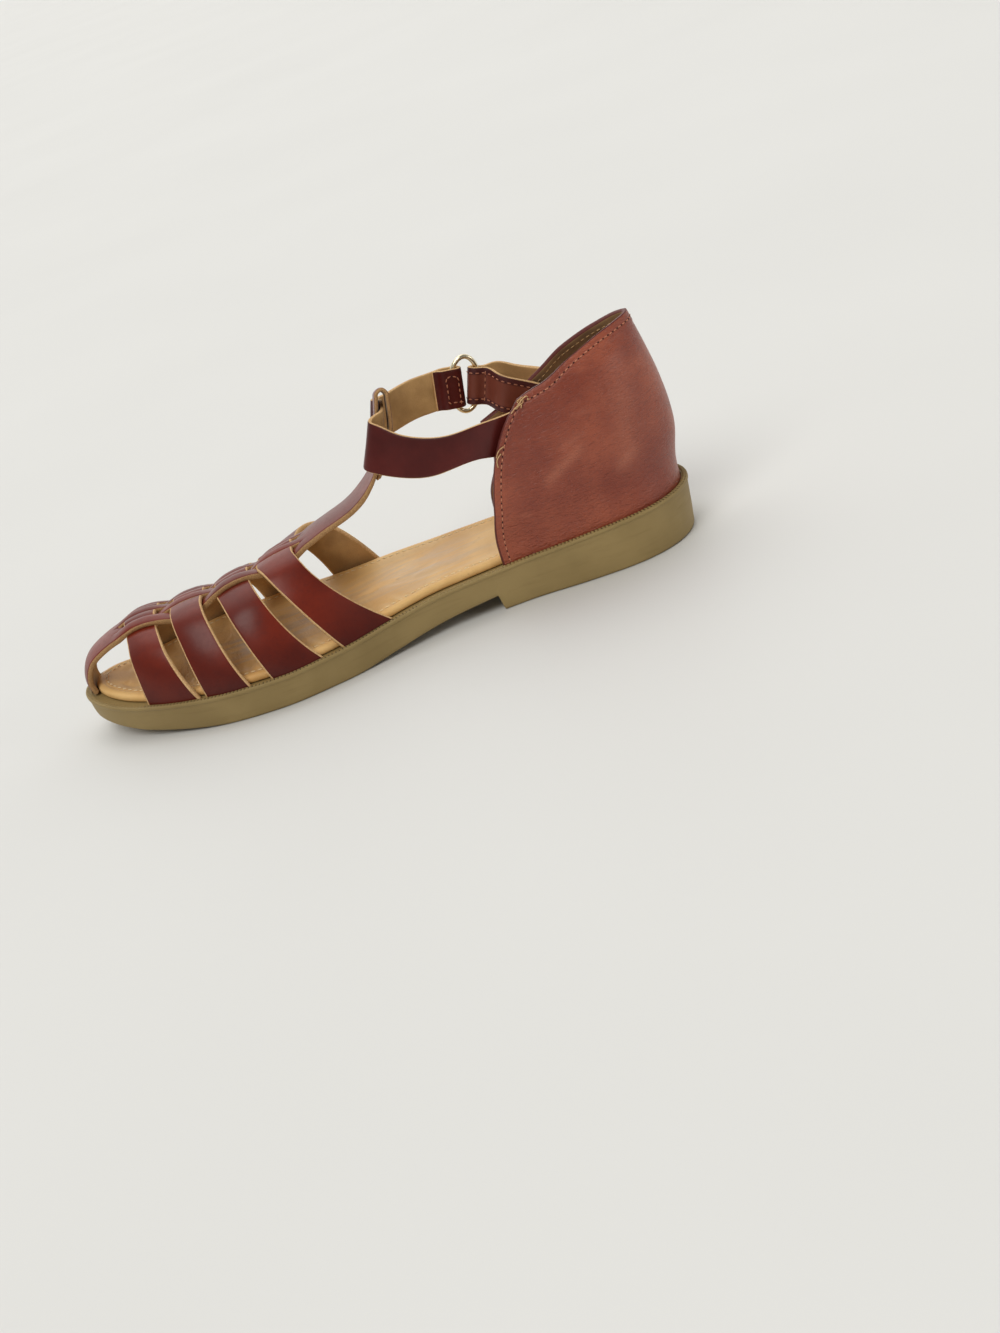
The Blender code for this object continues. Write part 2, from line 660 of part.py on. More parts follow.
def counter_point(around, share, side):
    """Point of the counter's outer face.

    around runs from 0 at the back to 1 at the front edge, share from 0 at the sole to 1 at
    the collar.
    """
    name = "medial" if side == MEDIAL else "lateral"
    foot_front = COUNTER_FRONT[side].read("from_heel", 15.0)
    turn = min(around / COUNTER_ROUND_SHARE, 1.0) * math.pi / 2
    ahead = max(around - COUNTER_ROUND_SHARE, 0.0) / (1 - COUNTER_ROUND_SHARE)
    round_end = COUNTER_LEVELS.rows[0][3]
    foot_heel = round_end * (1 - math.cos(turn))
    foot_heel += (foot_front - round_end) * ahead
    foot = outline_point(foot_heel, side, LASTING_INSET)
    low = seat(foot_heel) + SEAT_GAP
    height = low + (COLLAR.read(name, around) - low) * share
    back = COUNTER_LEVELS.read("back", height)
    reach = COUNTER_LEVELS.read("round_length", height)
    wide = COUNTER_LEVELS.read(name, height)
    heel = back + reach * (1 - math.cos(turn))
    heel += (COUNTER_FRONT[side].read("from_heel", height) - back - reach) * ahead
    body = np.array((heel, side * wide * math.sin(turn)))
    rise = min(max((height - low - COUNTER_LASTED) / COUNTER_BLEND, 0.0), 1.0)
    blend = rise * rise * (3 - 2 * rise)
    s, y = foot + (body - foot) * blend
    return place(s, y, height)


def make_heel_counter():
    around = np.linspace(0, 1, 15)
    rows = []
    for share in (0.0, 0.03, *np.linspace(0.1, 1, 10)):
        medial = [counter_point(a, share, MEDIAL) for a in around[::-1]]
        lateral = [counter_point(a, share, LATERAL) for a in around[1:]]
        rows.append(medial + lateral)
    columns = len(rows[0])
    sheet = Sheet()
    sheet.grid(rows[::-1], [[0.0] * columns] * len(rows), [[COUNTER_THICKNESS] * columns] * len(rows))
    return add_object("heel_counter", *sheet.solid(), COUNTER_LEATHER)


def ring_frame():
    """The way rearwards in the ring's plane and the plane's outward normal."""
    rearward = np.array((1.0, RING_PLANE_SLOPE, 0.0))
    rearward /= np.linalg.norm(rearward)
    return rearward, np.array((-rearward[1], rearward[0], 0.0))


def tilted(tilt):
    """Forward and upward ways in the ring's plane, turned by tilt."""
    rearward, _ = ring_frame()
    upward = np.array((0.0, 0.0, 1.0))
    forward = -rearward * math.cos(tilt) - upward * math.sin(tilt)
    return forward, upward * math.cos(tilt) - rearward * math.sin(tilt)


def by_ring(tilt, ahead, offset, lift):
    """Point ahead of, outside and above the place where both straps meet inside the ring."""
    _, outward = ring_frame()
    forward, upward = tilted(tilt)
    return place(*STRAPS_MEET_AT) + forward * ahead + outward * offset + upward * lift


def ribbon(edge_rows, rows_out, thickness, across=3):
    """Sheet of a strap between two edge lines; thickness is given for each row."""
    shares = np.linspace(0, 1, across + 1)
    rows = [[top + (low - top) * share for share in shares] for top, low in edge_rows]
    half = [[t / 2] * (across + 1) for t in thickness]
    if not rows_out:
        rows, half = rows[::-1], half[::-1]
    sheet = Sheet()
    sheet.grid(rows, half, half)
    return sheet


def edge_lines(table):
    tops = [place(*row[1:4]) for row in table.rows]
    lows = [place(*row[4:7]) for row in table.rows]
    return tops, lows


def fold_turn(nose, way, first_side):
    """Half circle of a strap folded back at its nose: (ahead, offset) from where straps meet."""
    turns = np.linspace(0, math.pi, 9)
    return [(nose + way * FOLD_RADIUS * (1 - math.sin(turn)), first_side * FOLD_RADIUS * math.cos(turn))
            for turn in turns]


def make_ankle_strap():
    tops, lows = edge_lines(ANKLE_STRAP)
    half = STRAP_WIDTH / 2
    straight_end = ANKLE_NOSE + FOLD_RADIUS + FOLD_STRAIGHT
    outer = ((LAYERS_MEET_AHEAD, LAYER_OFFSET), (LAYERS_PART_AHEAD, FOLD_RADIUS), (straight_end, FOLD_RADIUS))
    for ahead, offset in outer:
        tops.append(by_ring(ANKLE_TILT, ahead, offset, half))
        lows.append(by_ring(ANKLE_TILT, ahead, offset, -half))
    lines = list(zip(spline(tops, ANKLE_ROWS), spline(lows, ANKLE_ROWS)))
    inner = fold_turn(ANKLE_NOSE, 1, 1)
    inner += [(ahead, -FOLD_RADIUS) for ahead in np.linspace(straight_end, LAYERS_PART_AHEAD, 3)]
    inner += [((LAYERS_PART_AHEAD + LAYERS_MEET_AHEAD) / 2, -(FOLD_RADIUS + LAYER_OFFSET) / 2)]
    inner += [(LAYERS_MEET_AHEAD, -LAYER_OFFSET), (FOLD_END_AHEAD, -LAYER_OFFSET)]
    lines += [(by_ring(ANKLE_TILT, *at, half), by_ring(ANKLE_TILT, *at, -half)) for at in inner]
    sheet = ribbon(lines, True, [STRAP_THICKNESS] * len(lines))
    return add_object("ankle_strap", *sheet.solid(), LEATHER)


def make_closure_strap():
    half = CLOSURE_WIDTH / 2
    turn = fold_turn(-CLOSURE_NOSE, -1, -1)
    tops, lows = edge_lines(CLOSURE_INNER)
    for at in ((CLOSURE_PARTS_AHEAD, -FOLD_RADIUS), turn[0]):
        tops.append(by_ring(CLOSURE_TILT, *at, half))
        lows.append(by_ring(CLOSURE_TILT, *at, -half))
    lines = list(zip(spline(tops, CLOSURE_INNER_ROWS), spline(lows, CLOSURE_INNER_ROWS)))
    for at in turn[1:-1]:
        lines.append((by_ring(CLOSURE_TILT, *at, half), by_ring(CLOSURE_TILT, *at, -half)))
    tops, lows = edge_lines(CLOSURE_TAB)
    for at in ((CLOSURE_PARTS_AHEAD, FOLD_RADIUS), turn[-1]):
        tops.insert(0, by_ring(CLOSURE_TILT, *at, half))
        lows.insert(0, by_ring(CLOSURE_TILT, *at, -half))
    folded = len(lines)
    lines += list(zip(spline(tops, CLOSURE_TAB_ROWS), spline(lows, CLOSURE_TAB_ROWS)))
    thickness = [STRAP_THICKNESS] * (folded + TAB_THIN_ROWS)
    while len(thickness) < len(lines):
        thickness.append(min(TAB_THICKNESS, thickness[-1] + TAB_THICKENING))
    # rounded corners at the tip
    tip = (lines[-1][0] + lines[-1][1]) / 2
    for i in range(len(lines) - TAB_CORNER_ROWS, len(lines)):
        top, low = lines[i]
        left = min(np.linalg.norm(tip - (top + low) / 2) / TAB_CORNER_RADIUS, 1.0)
        cut = TAB_CORNER_RADIUS * (1 - math.sqrt(1 - (1 - left) ** 2))
        way = (low - top) / np.linalg.norm(low - top)
        lines[i] = (top + way * cut, low - way * cut)
    sheet = ribbon(lines, False, thickness)
    return add_object("closure_strap", *sheet.solid(), LEATHER)


def make_ring():
    """Oval wire ring, higher than wide, leaning as the straps do."""
    _, outward = ring_frame()
    forward, upward = tilted(RING_TILT)
    centre = place(*RING_CENTRE)
    around, section = 48, 8
    vertices, faces = [], []
    for i in range(around):
        angle = 2 * math.pi * i / around
        spoke = forward * RING_HALF_WIDTH * math.cos(angle) + upward * RING_HALF_HEIGHT * math.sin(angle)
        along = upward * RING_HALF_HEIGHT * math.cos(angle) - forward * RING_HALF_WIDTH * math.sin(angle)
        beside = np.cross(along, outward)
        beside /= np.linalg.norm(beside)
        for j in range(section):
            turn = 2 * math.pi * j / section
            wire = beside * math.cos(turn) + outward * math.sin(turn)
            vertices.append(centre + spoke + wire * RING_WIRE_RADIUS)
    for i in range(around):
        for j in range(section):
            a, b = i * section, ((i + 1) % around) * section
            k = (j + 1) % section
            faces.append((a + j, b + j, b + k, a + k))
    return add_object("ring", vertices, faces, NICKEL, flat_angle=80.0)


def main():
    for thing in list(bpy.data.objects):
        bpy.data.objects.remove(thing, do_unlink=True)
    make_outsole()
    make_insole()
    make_forefoot_upper()
    make_heel_counter()
    make_ankle_strap()
    make_closure_strap()
    make_ring()


main()
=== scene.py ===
"""Looks of the right fisherman sandal: woven vamp, cross straps, counter, insole, sole and ring.

Everything is laid out in the sandal's own millimetres: from_heel runs along the sole from the
heel, across is negative on the medial side, height is above the floor. Meshes are in metres.
"""

import math

import bmesh
import bpy
import numpy as np
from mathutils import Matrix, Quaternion, Vector


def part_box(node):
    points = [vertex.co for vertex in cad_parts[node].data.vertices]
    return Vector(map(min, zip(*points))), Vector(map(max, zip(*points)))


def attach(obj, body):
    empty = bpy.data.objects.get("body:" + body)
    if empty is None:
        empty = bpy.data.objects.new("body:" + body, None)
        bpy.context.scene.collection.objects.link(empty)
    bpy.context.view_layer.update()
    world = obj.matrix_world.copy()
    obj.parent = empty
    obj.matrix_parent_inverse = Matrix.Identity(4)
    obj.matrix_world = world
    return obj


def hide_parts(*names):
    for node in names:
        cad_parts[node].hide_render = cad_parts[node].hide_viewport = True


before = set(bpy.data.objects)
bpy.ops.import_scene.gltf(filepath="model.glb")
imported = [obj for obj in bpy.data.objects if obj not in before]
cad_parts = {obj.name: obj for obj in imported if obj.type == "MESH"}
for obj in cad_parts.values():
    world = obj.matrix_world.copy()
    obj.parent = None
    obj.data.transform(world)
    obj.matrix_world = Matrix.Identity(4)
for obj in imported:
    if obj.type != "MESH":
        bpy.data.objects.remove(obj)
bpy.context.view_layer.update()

MM = 0.001
sole_low, sole_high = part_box("outsole")
SOLE_LENGTH = round((sole_high.x - sole_low.x) / MM, 1)
HEEL_AT = sole_high.x / MM
HEEL_TIP_RADIUS = 29.0
TOE_TIP_RADIUS = 25.0
RIM_WIDTH = 2.5
RIM_HEIGHT = 0.8
RIM_BAND = 1.9
RIM_PITCH = 1.5
NOTCHES_TO = 118.0
SIDE_STEP = 0.5
HEEL_UNDERCUT = 1.6
HEEL_UNDERCUT_LENGTH = 55.0
SEAT_GAP = 0.3
LASTING_INSET = 2.8
MEDIAL, LATERAL = -1, 1
UP = np.array((0.0, 0.0, 1.0))


# ---------------------------------------------------------------- curves and tables

class Spline:
    """Natural cubic through rows of values at rising knots."""

    def __init__(self, knots, values):
        self.knots = np.asarray(knots, dtype=float)
        self.values = np.asarray(values, dtype=float)
        last = len(self.knots) - 1
        self.width = np.diff(self.knots)
        system = np.eye(last + 1)
        right = np.zeros_like(self.values)
        slope = np.diff(self.values, axis=0) / self.width.reshape((-1,) + (1,) * (self.values.ndim - 1))
        for i in range(1, last):
            system[i, i - 1:i + 2] = self.width[i - 1], 2 * (self.width[i - 1] + self.width[i]), self.width[i]
            right[i] = 6 * (slope[i] - slope[i - 1])
        self.bend = np.linalg.solve(system, right.reshape(last + 1, -1)).reshape(right.shape)

    def at(self, where):
        where = np.asarray(where, dtype=float)
        i = np.clip(np.searchsorted(self.knots, where) - 1, 0, len(self.width) - 1)
        shape = (-1,) + (1,) * (self.values.ndim - 1)
        a = (self.knots[i + 1] - where).reshape(shape)
        b = (where - self.knots[i]).reshape(shape)
        h = self.width[i].reshape(shape)
        return ((self.bend[i] * a ** 3 + self.bend[i + 1] * b ** 3) / (6 * h)
                + (self.values[i] / h - self.bend[i] * h / 6) * a
                + (self.values[i + 1] / h - self.bend[i + 1] * h / 6) * b)


def chord_lengths(points):
    """Distance run along a line of points, starting at 0."""
    steps = np.linalg.norm(np.diff(points, axis=0), axis=-1)
    return np.concatenate(([0.0], np.cumsum(steps)))


def smooth(points, count):
    """Evenly spaced points on a smooth curve through the given ones."""
    knots = chord_lengths(np.asarray(points, dtype=float))
    return Spline(knots, points).at(np.linspace(0, knots[-1], count))


def refine(grid, along, across):
    """Smooth surface through a grid of points, read at shares 0 to 1 along and across."""
    grid = np.asarray(grid, dtype=float)
    down = np.concatenate(([0.0], np.cumsum(np.linalg.norm(np.diff(grid, axis=0), axis=2).mean(axis=1))))
    grid = Spline(down, grid).at(np.asarray(along) * down[-1])
    over = np.concatenate(([0.0], np.cumsum(np.linalg.norm(np.diff(grid, axis=1), axis=2).mean(axis=0))))
    return Spline(over, grid.transpose(1, 0, 2)).at(np.asarray(across) * over[-1]).transpose(1, 0, 2)


def ease(x):
    """Smooth step from 0 to 1."""
    x = np.clip(x, 0.0, 1.0)
    return x * x * (3 - 2 * x)


def swing(x, knots, values):
    """Value that eases from one knot's value to the next."""
    knots, values = np.asarray(knots, float), np.asarray(values, float)
    i = np.clip(np.searchsorted(knots, x) - 1, 0, len(knots) - 2)
    share = ease((x - knots[i]) / (knots[i + 1] - knots[i]))
    return values[i] + (values[i + 1] - values[i]) * share


def cubic(t, start, leave, end, arrive):
    """Curve from start to end for t from 0 to 1, with the ways that it leaves and arrives."""
    return ((1 + 2 * t) * (1 - t) ** 2 * start + t * (1 - t) ** 2 * leave
            + t * t * (3 - 2 * t) * end + t * t * (t - 1) * arrive)


class Table:
    """Rows of sizes under named columns, read as a smooth line along the first column."""

    def __init__(self, columns, *rows):
        self.columns = columns.split()
        self.rows = np.array(rows, dtype=float)
        x, values = self.rows[:, 0], self.rows
        self.width = np.diff(x)
        slope = np.diff(values, axis=0) / self.width[:, None]
        self.tangent = np.zeros_like(values)
        self.tangent[0], self.tangent[-1] = slope[0], slope[-1]
        for i in range(1, len(x) - 1):
            same_way = slope[i - 1] * slope[i] > 0
            before = 2 * self.width[i] + self.width[i - 1]
            after = self.width[i] + 2 * self.width[i - 1]
            with np.errstate(divide="ignore", invalid="ignore"):
                mean = (before + after) / (before / slope[i - 1] + after / slope[i])
            self.tangent[i] = np.where(same_way, mean, 0.0)

    def read(self, name, at):
        """Cubic line that never overshoots its rows, so a flat stretch stays flat."""
        k = self.columns.index(name)
        x, y, tangent = self.rows[:, 0], self.rows[:, k], self.tangent[:, k]
        cell = np.clip(np.searchsorted(x, at) - 1, 0, len(self.width) - 1)
        width = self.width[cell]
        t = np.clip((at - x[cell]) / width, 0, 1)
        return cubic(t, y[cell], width * tangent[cell], y[cell + 1], width * tangent[cell + 1])


SOLE_WIDTHS = Table(
    "from_heel medial lateral",
    (25.5, 28.9, 28.6),
    (51.0, 29.7, 30.4),
    (76.5, 27.7, 32.5),
    (102.0, 28.7, 35.3),
    (127.5, 34.8, 39.6),
    (153.0, 42.8, 43.5),
    (178.5, 46.8, 45.3),
    (204.0, 42.7, 41.5),
    (229.5, 31.6, 28.4),
)
SOLE_HEIGHTS = Table(
    "from_heel top bottom",
    (0.0, 20.2, 8.0),
    (30.0, 19.7, 7.6),
    (76.5, 17.3, 6.7),
    (115.0, 15.5, 3.6),
    (150.0, 12.9, 0.0),
    (172.0, 12.6, 0.0),
    (195.0, 12.7, 0.0),
    (230.0, 13.8, 2.6),
    (255.0, 17.4, 8.8),
)
HEEL_BREAST = {MEDIAL: 86.0, LATERAL: 72.0}
HEEL_BREAST_DRAFT = 1.2

CROSS_STRAPS = Table(
    "strap top_front top_rear medial_front medial_rear lateral_front lateral_rear",
    (1, 228.4, 215.4, 229.6, 207.8, 236.1, 217.5),
    (2, 208.2, 195.0, 205.2, 186.7, 208.7, 189.5),
    (3, 189.2, 175.0, 178.0, 156.2, 179.5, 158.4),
    (4, 170.8, 155.6, 148.1, 126.7, 148.3, 127.2),
)
STRIPS = 5
STRIP_LIFT = 2.0
STRAP_LIFT = 1.2
STRIP_PILLOW = 0.8
STRAP_CROWN = 0.6
CROSS_THICKNESS = 2.1
LEAVE_DROP = {MEDIAL: (1.0, 1.0, 1.0, 1.0), LATERAL: (1.0, 0.8, 0.4, 0.1)}
ARRIVE_DOWN = {MEDIAL: (1.05, 1.05, 1.05, 1.05), LATERAL: (1.05, 1.2, 1.6, 2.5)}
SLIT = 0.7
SLITS_FROM, SLITS_TO = 231.5, 152.0
SLIT_TAPER = 7.0
WOVEN_FADE = 3.0
PAST_SLITS = 50.0
FAR = 1000.0

VAMP = Table(
    "row from_heel height half_width arch tilt",
    (0, 250.8, 17.1, 8.7, 1.7, 0.00),
    (1, 251.5, 21.2, 8.9, 1.8, 0.02),
    (2, 250.4, 25.9, 9.4, 1.9, 0.03),
    (3, 247.3, 30.5, 10.2, 2.0, 0.05),
    (4, 241.5, 34.0, 11.6, 2.0, 0.08),
    (5, 233.6, 36.8, 13.6, 2.0, 0.11),
    (6, 224.8, 38.2, 15.6, 2.0, 0.14),
    (7, 215.2, 38.4, 17.4, 2.0, 0.17),
    (8, 205.2, 38.6, 18.8, 2.0, 0.19),
    (9, 195.3, 39.0, 19.6, 2.0, 0.22),
    (10, 184.3, 40.4, 19.8, 2.0, 0.25),
    (11, 173.2, 42.1, 19.2, 2.0, 0.25),
    (12, 162.2, 44.1, 17.6, 2.0, 0.21),
    (13, 152.9, 46.6, 15.6, 1.8, 0.15),
    (14, 145.7, 48.8, 13.0, 1.4, 0.11),
    (15, 137.7, 50.8, 11.2, 1.0, 0.07),
    (16, 130.3, 52.9, 10.2, 0.7, 0.03),
    (17, 123.6, 56.3, 9.8, 0.4, 0.00),
    (18, 118.7, 60.1, 9.4, 0.1, 0.00),
    (19, 115.0, 64.2, 8.4, 0.0, 0.00),
    (20, 112.3, 69.4, 7.7, 0.0, 0.05),
    (21, 108.9, 79.6, 7.4, 0.0, 0.16),
    (22, 104.9, 91.8, 7.4, 0.0, 0.28),
)
STRAP_THICKNESS = 1.5
STRIP_THICKNESS = 2.6
VAMP_THICKNESS = 2.4
VAMP_FROM_HEEL = 124.0
LOOP_FROM_HEEL = 115.0
LOOP_RADIUS = 2.1
LOOP_LEAN = np.array((0.95, 0.312))
LOOP_INNER = ((108.2, 68.1), (112.4, 62.7), (116.0, 59.0))
PINCH, PINCH_FROM, PINCH_TO = 0.5, -1.0, 2.6

COUNTER_LEVELS = Table(
    "height back medial lateral round_length",
    (17.0, 2.9, 26.0, 26.6, 44.0),
    (27.0, 0.8, 27.4, 27.6, 44.0),
    (38.0, -1.0, 28.2, 28.2, 44.0),
    (50.0, -1.7, 28.2, 27.4, 45.0),
    (62.0, -1.0, 27.4, 25.2, 45.0),
    (72.0, 0.4, 26.2, 21.4, 46.0),
    (80.0, 1.8, 23.6, 16.4, 46.0),
    (86.0, 3.0, 18.4, 12.4, 46.0),
    (92.0, 4.2, 13.0, 9.0, 46.0),
)
COUNTER_FRONT = {
    MEDIAL: Table(
        "height from_heel",
        (15.0, 80.4),
        (27.0, 79.3),
        (38.0, 77.4),
        (46.0, 75.2),
        (58.0, 70.7),
        (69.0, 63.8),
        (78.0, 54.6),
    ),
    LATERAL: Table(
        "height from_heel",
        (15.0, 76.4),
        (27.0, 75.0),
        (40.0, 70.4),
        (46.0, 69.4),
        (60.0, 70.2),
        (78.0, 66.0),
    ),
}
COLLAR = Table(
    "around medial lateral",
    (0.0, 89.8, 89.8),
    (0.15, 89.3, 89.2),
    (0.30, 87.8, 86.6),
    (0.45, 84.4, 81.0),
    (0.60, 79.6, 70.8),
    (0.80, 78.8, 64.6),
    (1.0, 77.6, 59.3),
)
COUNTER_ROUND_SHARE = 0.6
COUNTER_BLEND = 22.0
COUNTER_LASTED = 1.4
COUNTER_THICKNESS = 2.0
HEM_WIDTH = 5.0
HEM_RISE = 0.3
STITCH_INSET = 3.0
HEM_GROOVES = ((STITCH_INSET, 0.75, 0.28), (1.25, 0.35, 0.22))
HEM_PITCH = 2.6
THREAD_RADIUS = 0.2

RING_CENTRE = (71.1, 28.0, 75.4)
RING_TILT = math.radians(-16.0)
RING_HALF_WIDTH = 6.0
RING_HALF_HEIGHT = 11.0
RING_WIRE_RADIUS = 1.0
RING_PLANE_SLOPE = 0.15
STRAPS_MEET_AT = (71.7, 28.0, 74.9)
ANKLE_TILT = math.radians(-11.0)
CLOSURE_TILT = math.radians(-20.0)
ANKLE_NOSE = 1.0
CLOSURE_NOSE = 2.1
FOLD_RADIUS = 2.25
STRAP_WIDTH = 16.0
CLOSURE_WIDTH = 15.0
STRAP_CORNER = 0.45
STRAP_STEP = 0.8
STRAP_CELL = 0.9
FOLD_PITCH = 2.2
FOLD_STITCH = (0.85, 0.26, 0.22)
CLOSURE_PITCH = 2.5
CLOSURE_STITCH = (0.85, 0.25, 0.22)

ANKLE_STRAP = Table(
    "row top_heel top_across top_height low_heel low_across low_height",
    (0, 50.0, -19.4, 73.3, 52.8, -22.0, 58.0),
    (1, 57.4, -20.4, 72.7, 61.0, -22.6, 58.0),
    (2, 65.0, -23.6, 73.3, 68.7, -24.0, 59.0),
    (3, 72.7, -26.4, 74.1, 75.8, -27.2, 61.4),
    (4, 83.0, -26.2, 73.9, 84.0, -28.3, 61.8),
    (5, 94.2, -22.5, 75.8, 94.7, -26.2, 61.0),
    (6, 102.9, -18.2, 79.9, 105.5, -22.1, 63.1),
    (7, 108.0, -14.8, 83.9, 114.8, -17.2, 66.7),
    (8, 110.0, -12.0, 85.5, 118.0, -12.8, 68.8),
    (9, 107.5, -10.1, 86.5, 113.6, -10.4, 70.5),
    (10, 104.9, -8.7, 86.8, 110.2, -8.7, 71.2),
    (11, 104.3, -7.0, 86.9, 109.5, -7.0, 71.3),
    (12, 104.2, -3.5, 86.9, 109.4, -3.5, 71.3),
    (13, 104.2, 0.0, 86.9, 109.4, 0.0, 71.3),
    (14, 104.2, 3.5, 86.9, 109.4, 3.5, 71.3),
    (15, 104.3, 7.0, 86.9, 109.5, 7.0, 71.3),
    (16, 104.9, 8.7, 86.8, 110.2, 8.7, 71.2),
    (17, 107.0, 10.4, 86.6, 112.8, 10.8, 70.6),
    (18, 107.2, 12.6, 86.4, 113.2, 13.6, 69.8),
    (19, 104.6, 16.0, 85.6, 109.4, 17.8, 68.8),
    (20, 99.0, 20.4, 85.3, 102.0, 22.4, 68.8),
    (21, 91.6, 24.0, 85.6, 93.2, 25.2, 69.5),
)
FOLD_STRAIGHT = 2.0
LAYERS_PART_AHEAD = 8.4
LAYERS_MEET_AHEAD = 10.4
FOLD_END_AHEAD = 12.4
LAYER_OFFSET = 0.92
# Stitches of the ankle strap's fold: a box on its inner side, two rows on its outer side
FOLD_BOX = ((2.6, -5.6), (2.6, 4.8), (7.4, 5.2), (7.4, -5.2), (2.6, -5.6))
FOLD_ROWS_AHEAD = (3.4, 7.4)
FOLD_ROW_ENDS = (-5.4, 5.4)
CLOSURE_PARTS_AHEAD = -8.6

CLOSURE_INNER = Table(
    "row top_heel top_across top_height low_heel low_across low_height",
    (0, 40.0, 17.8, 66.0, 46.0, 22.0, 52.0),
    (1, 49.0, 19.0, 71.4, 54.0, 22.4, 57.0),
    (2, 57.0, 21.0, 76.4, 61.5, 20.4, 61.8),
)
CLOSURE_TAB = Table(
    "row top_heel top_across top_height low_heel low_across low_height",
    (0, 57.5, 31.6, 79.0, 61.5, 32.4, 64.4),
    (1, 50.0, 30.8, 75.4, 54.0, 32.2, 60.8),
    (2, 42.5, 29.6, 71.8, 46.5, 31.6, 57.4),
    (3, 35.5, 27.9, 68.4, 39.0, 30.6, 54.2),
    (4, 29.0, 26.2, 65.2, 32.0, 29.5, 51.2),
    (5, 23.8, 24.4, 62.6, 26.4, 27.8, 48.8),
)
TAB_THICKNESS = 2.4
TAB_CORNER_RADIUS = 4.0
TAB_STITCH_INSET = 2.6
# Distances along the closure strap from its fold
TAB_THICKENS_FROM, TAB_THICKENS_OVER = 8.0, 8.0
TAB_STITCHES_FROM, INNER_STITCHES_TO = 4.0, -1.5
CLOSURE_CROSS_SEAMS = (-11.0, 10.5, 21.0)

INSOLE_INSET = 5.6
INSOLE_THICKNESS = 3.0
INSOLE_DISH = 0.9
SEAM_INSET = 4.4
SEAM_SUNK = 0.22
FOOTBED_PITCH = 2.9
FOOTBED_STITCH = (1.1, 0.34, 0.2)


def place(from_heel, across, height):
    """A point of the sandal in millimetres of the shared frame."""
    return np.array((HEEL_AT - from_heel, across, height), dtype=float)


def place_all(from_heel, across, height):
    return np.stack(np.broadcast_arrays(HEEL_AT - from_heel, across, height), axis=-1)


# ---------------------------------------------------------------- the sole's outline

def end_rounding(from_heel):
    """Share of full width left by the round heel and toe."""
    share = from_heel / SOLE_LENGTH
    return np.sqrt(np.maximum(4 * share * (1 - share), 0.0))


def fullness_table():
    """Half widths divided by the end rounding, closed by the two tip radii."""
    rows = [(0.0,) + (math.sqrt(HEEL_TIP_RADIUS * SOLE_LENGTH / 2),) * 2]
    rows += [(at, medial / end_rounding(at), lateral / end_rounding(at))
             for at, medial, lateral in SOLE_WIDTHS.rows]
    rows.append((SOLE_LENGTH,) + (math.sqrt(TOE_TIP_RADIUS * SOLE_LENGTH / 2),) * 2)
    return Table("from_heel medial lateral", *rows)


FULLNESS = fullness_table()


def outline_point(from_heel, side, inset=0.0):
    """(from_heel, across) on the sole's outline, moved inwards square to the edge."""
    name = "medial" if side == MEDIAL else "lateral"

    def edge(at):
        return np.array((at, side * FULLNESS.read(name, at) * end_rounding(at)))

    if from_heel <= 0:
        return np.array((inset, 0.0))
    if from_heel >= SOLE_LENGTH:
        return np.array((SOLE_LENGTH - inset, 0.0))
    step = min(0.05, from_heel / 2, (SOLE_LENGTH - from_heel) / 2)
    along = edge(from_heel + step) - edge(from_heel - step)
    normal = np.array((-along[1], along[0])) * side
    return edge(from_heel) - inset * normal / np.linalg.norm(normal)


def sole_top(from_heel):
    return SOLE_HEIGHTS.read("top", from_heel)


def seat(from_heel):
    """Height of the sole's bed inside its rim."""
    return sole_top(from_heel) - RIM_HEIGHT


def loop_stations(count):
    """Stations round the outline: heel tip, medial side, toe tip, lateral side back to the heel."""
    half = [(SOLE_LENGTH * (1 - math.cos(math.pi * i / count)) / 2, MEDIAL) for i in range(count + 1)]
    back = [(s, LATERAL) for s, _ in reversed(half[1:-1])]
    return half + back


def outline_loop(stations, inset, height):
    """Closed run of points at an inset from the outline; height is read at each station."""
    points = []
    for s, side in stations:
        heel, across = outline_point(s, side, inset)
        points.append(place(heel, across, height(s, side)))
    return np.array(points)


# ---------------------------------------------------------------- finishes

class Value:
    """A socket that takes part in Python sums; each sum adds one Math node."""

    def __init__(self, finish, socket):
        self.finish, self.socket = finish, socket

    def __add__(self, other):
        return self.finish.math("ADD", self, other)

    def __rsub__(self, other):
        return self.finish.math("SUBTRACT", other, self)

    def __mul__(self, other):
        return self.finish.math("MULTIPLY", self, other)

    __radd__ = __add__
    __rmul__ = __mul__

    def between(self, low, high):
        """0 below low, 1 above high, eased between."""
        inputs = {"Value": self, "From Min": low, "From Max": high}
        return self.finish.node("ShaderNodeMapRange", {"interpolation_type": "SMOOTHSTEP"}, inputs)


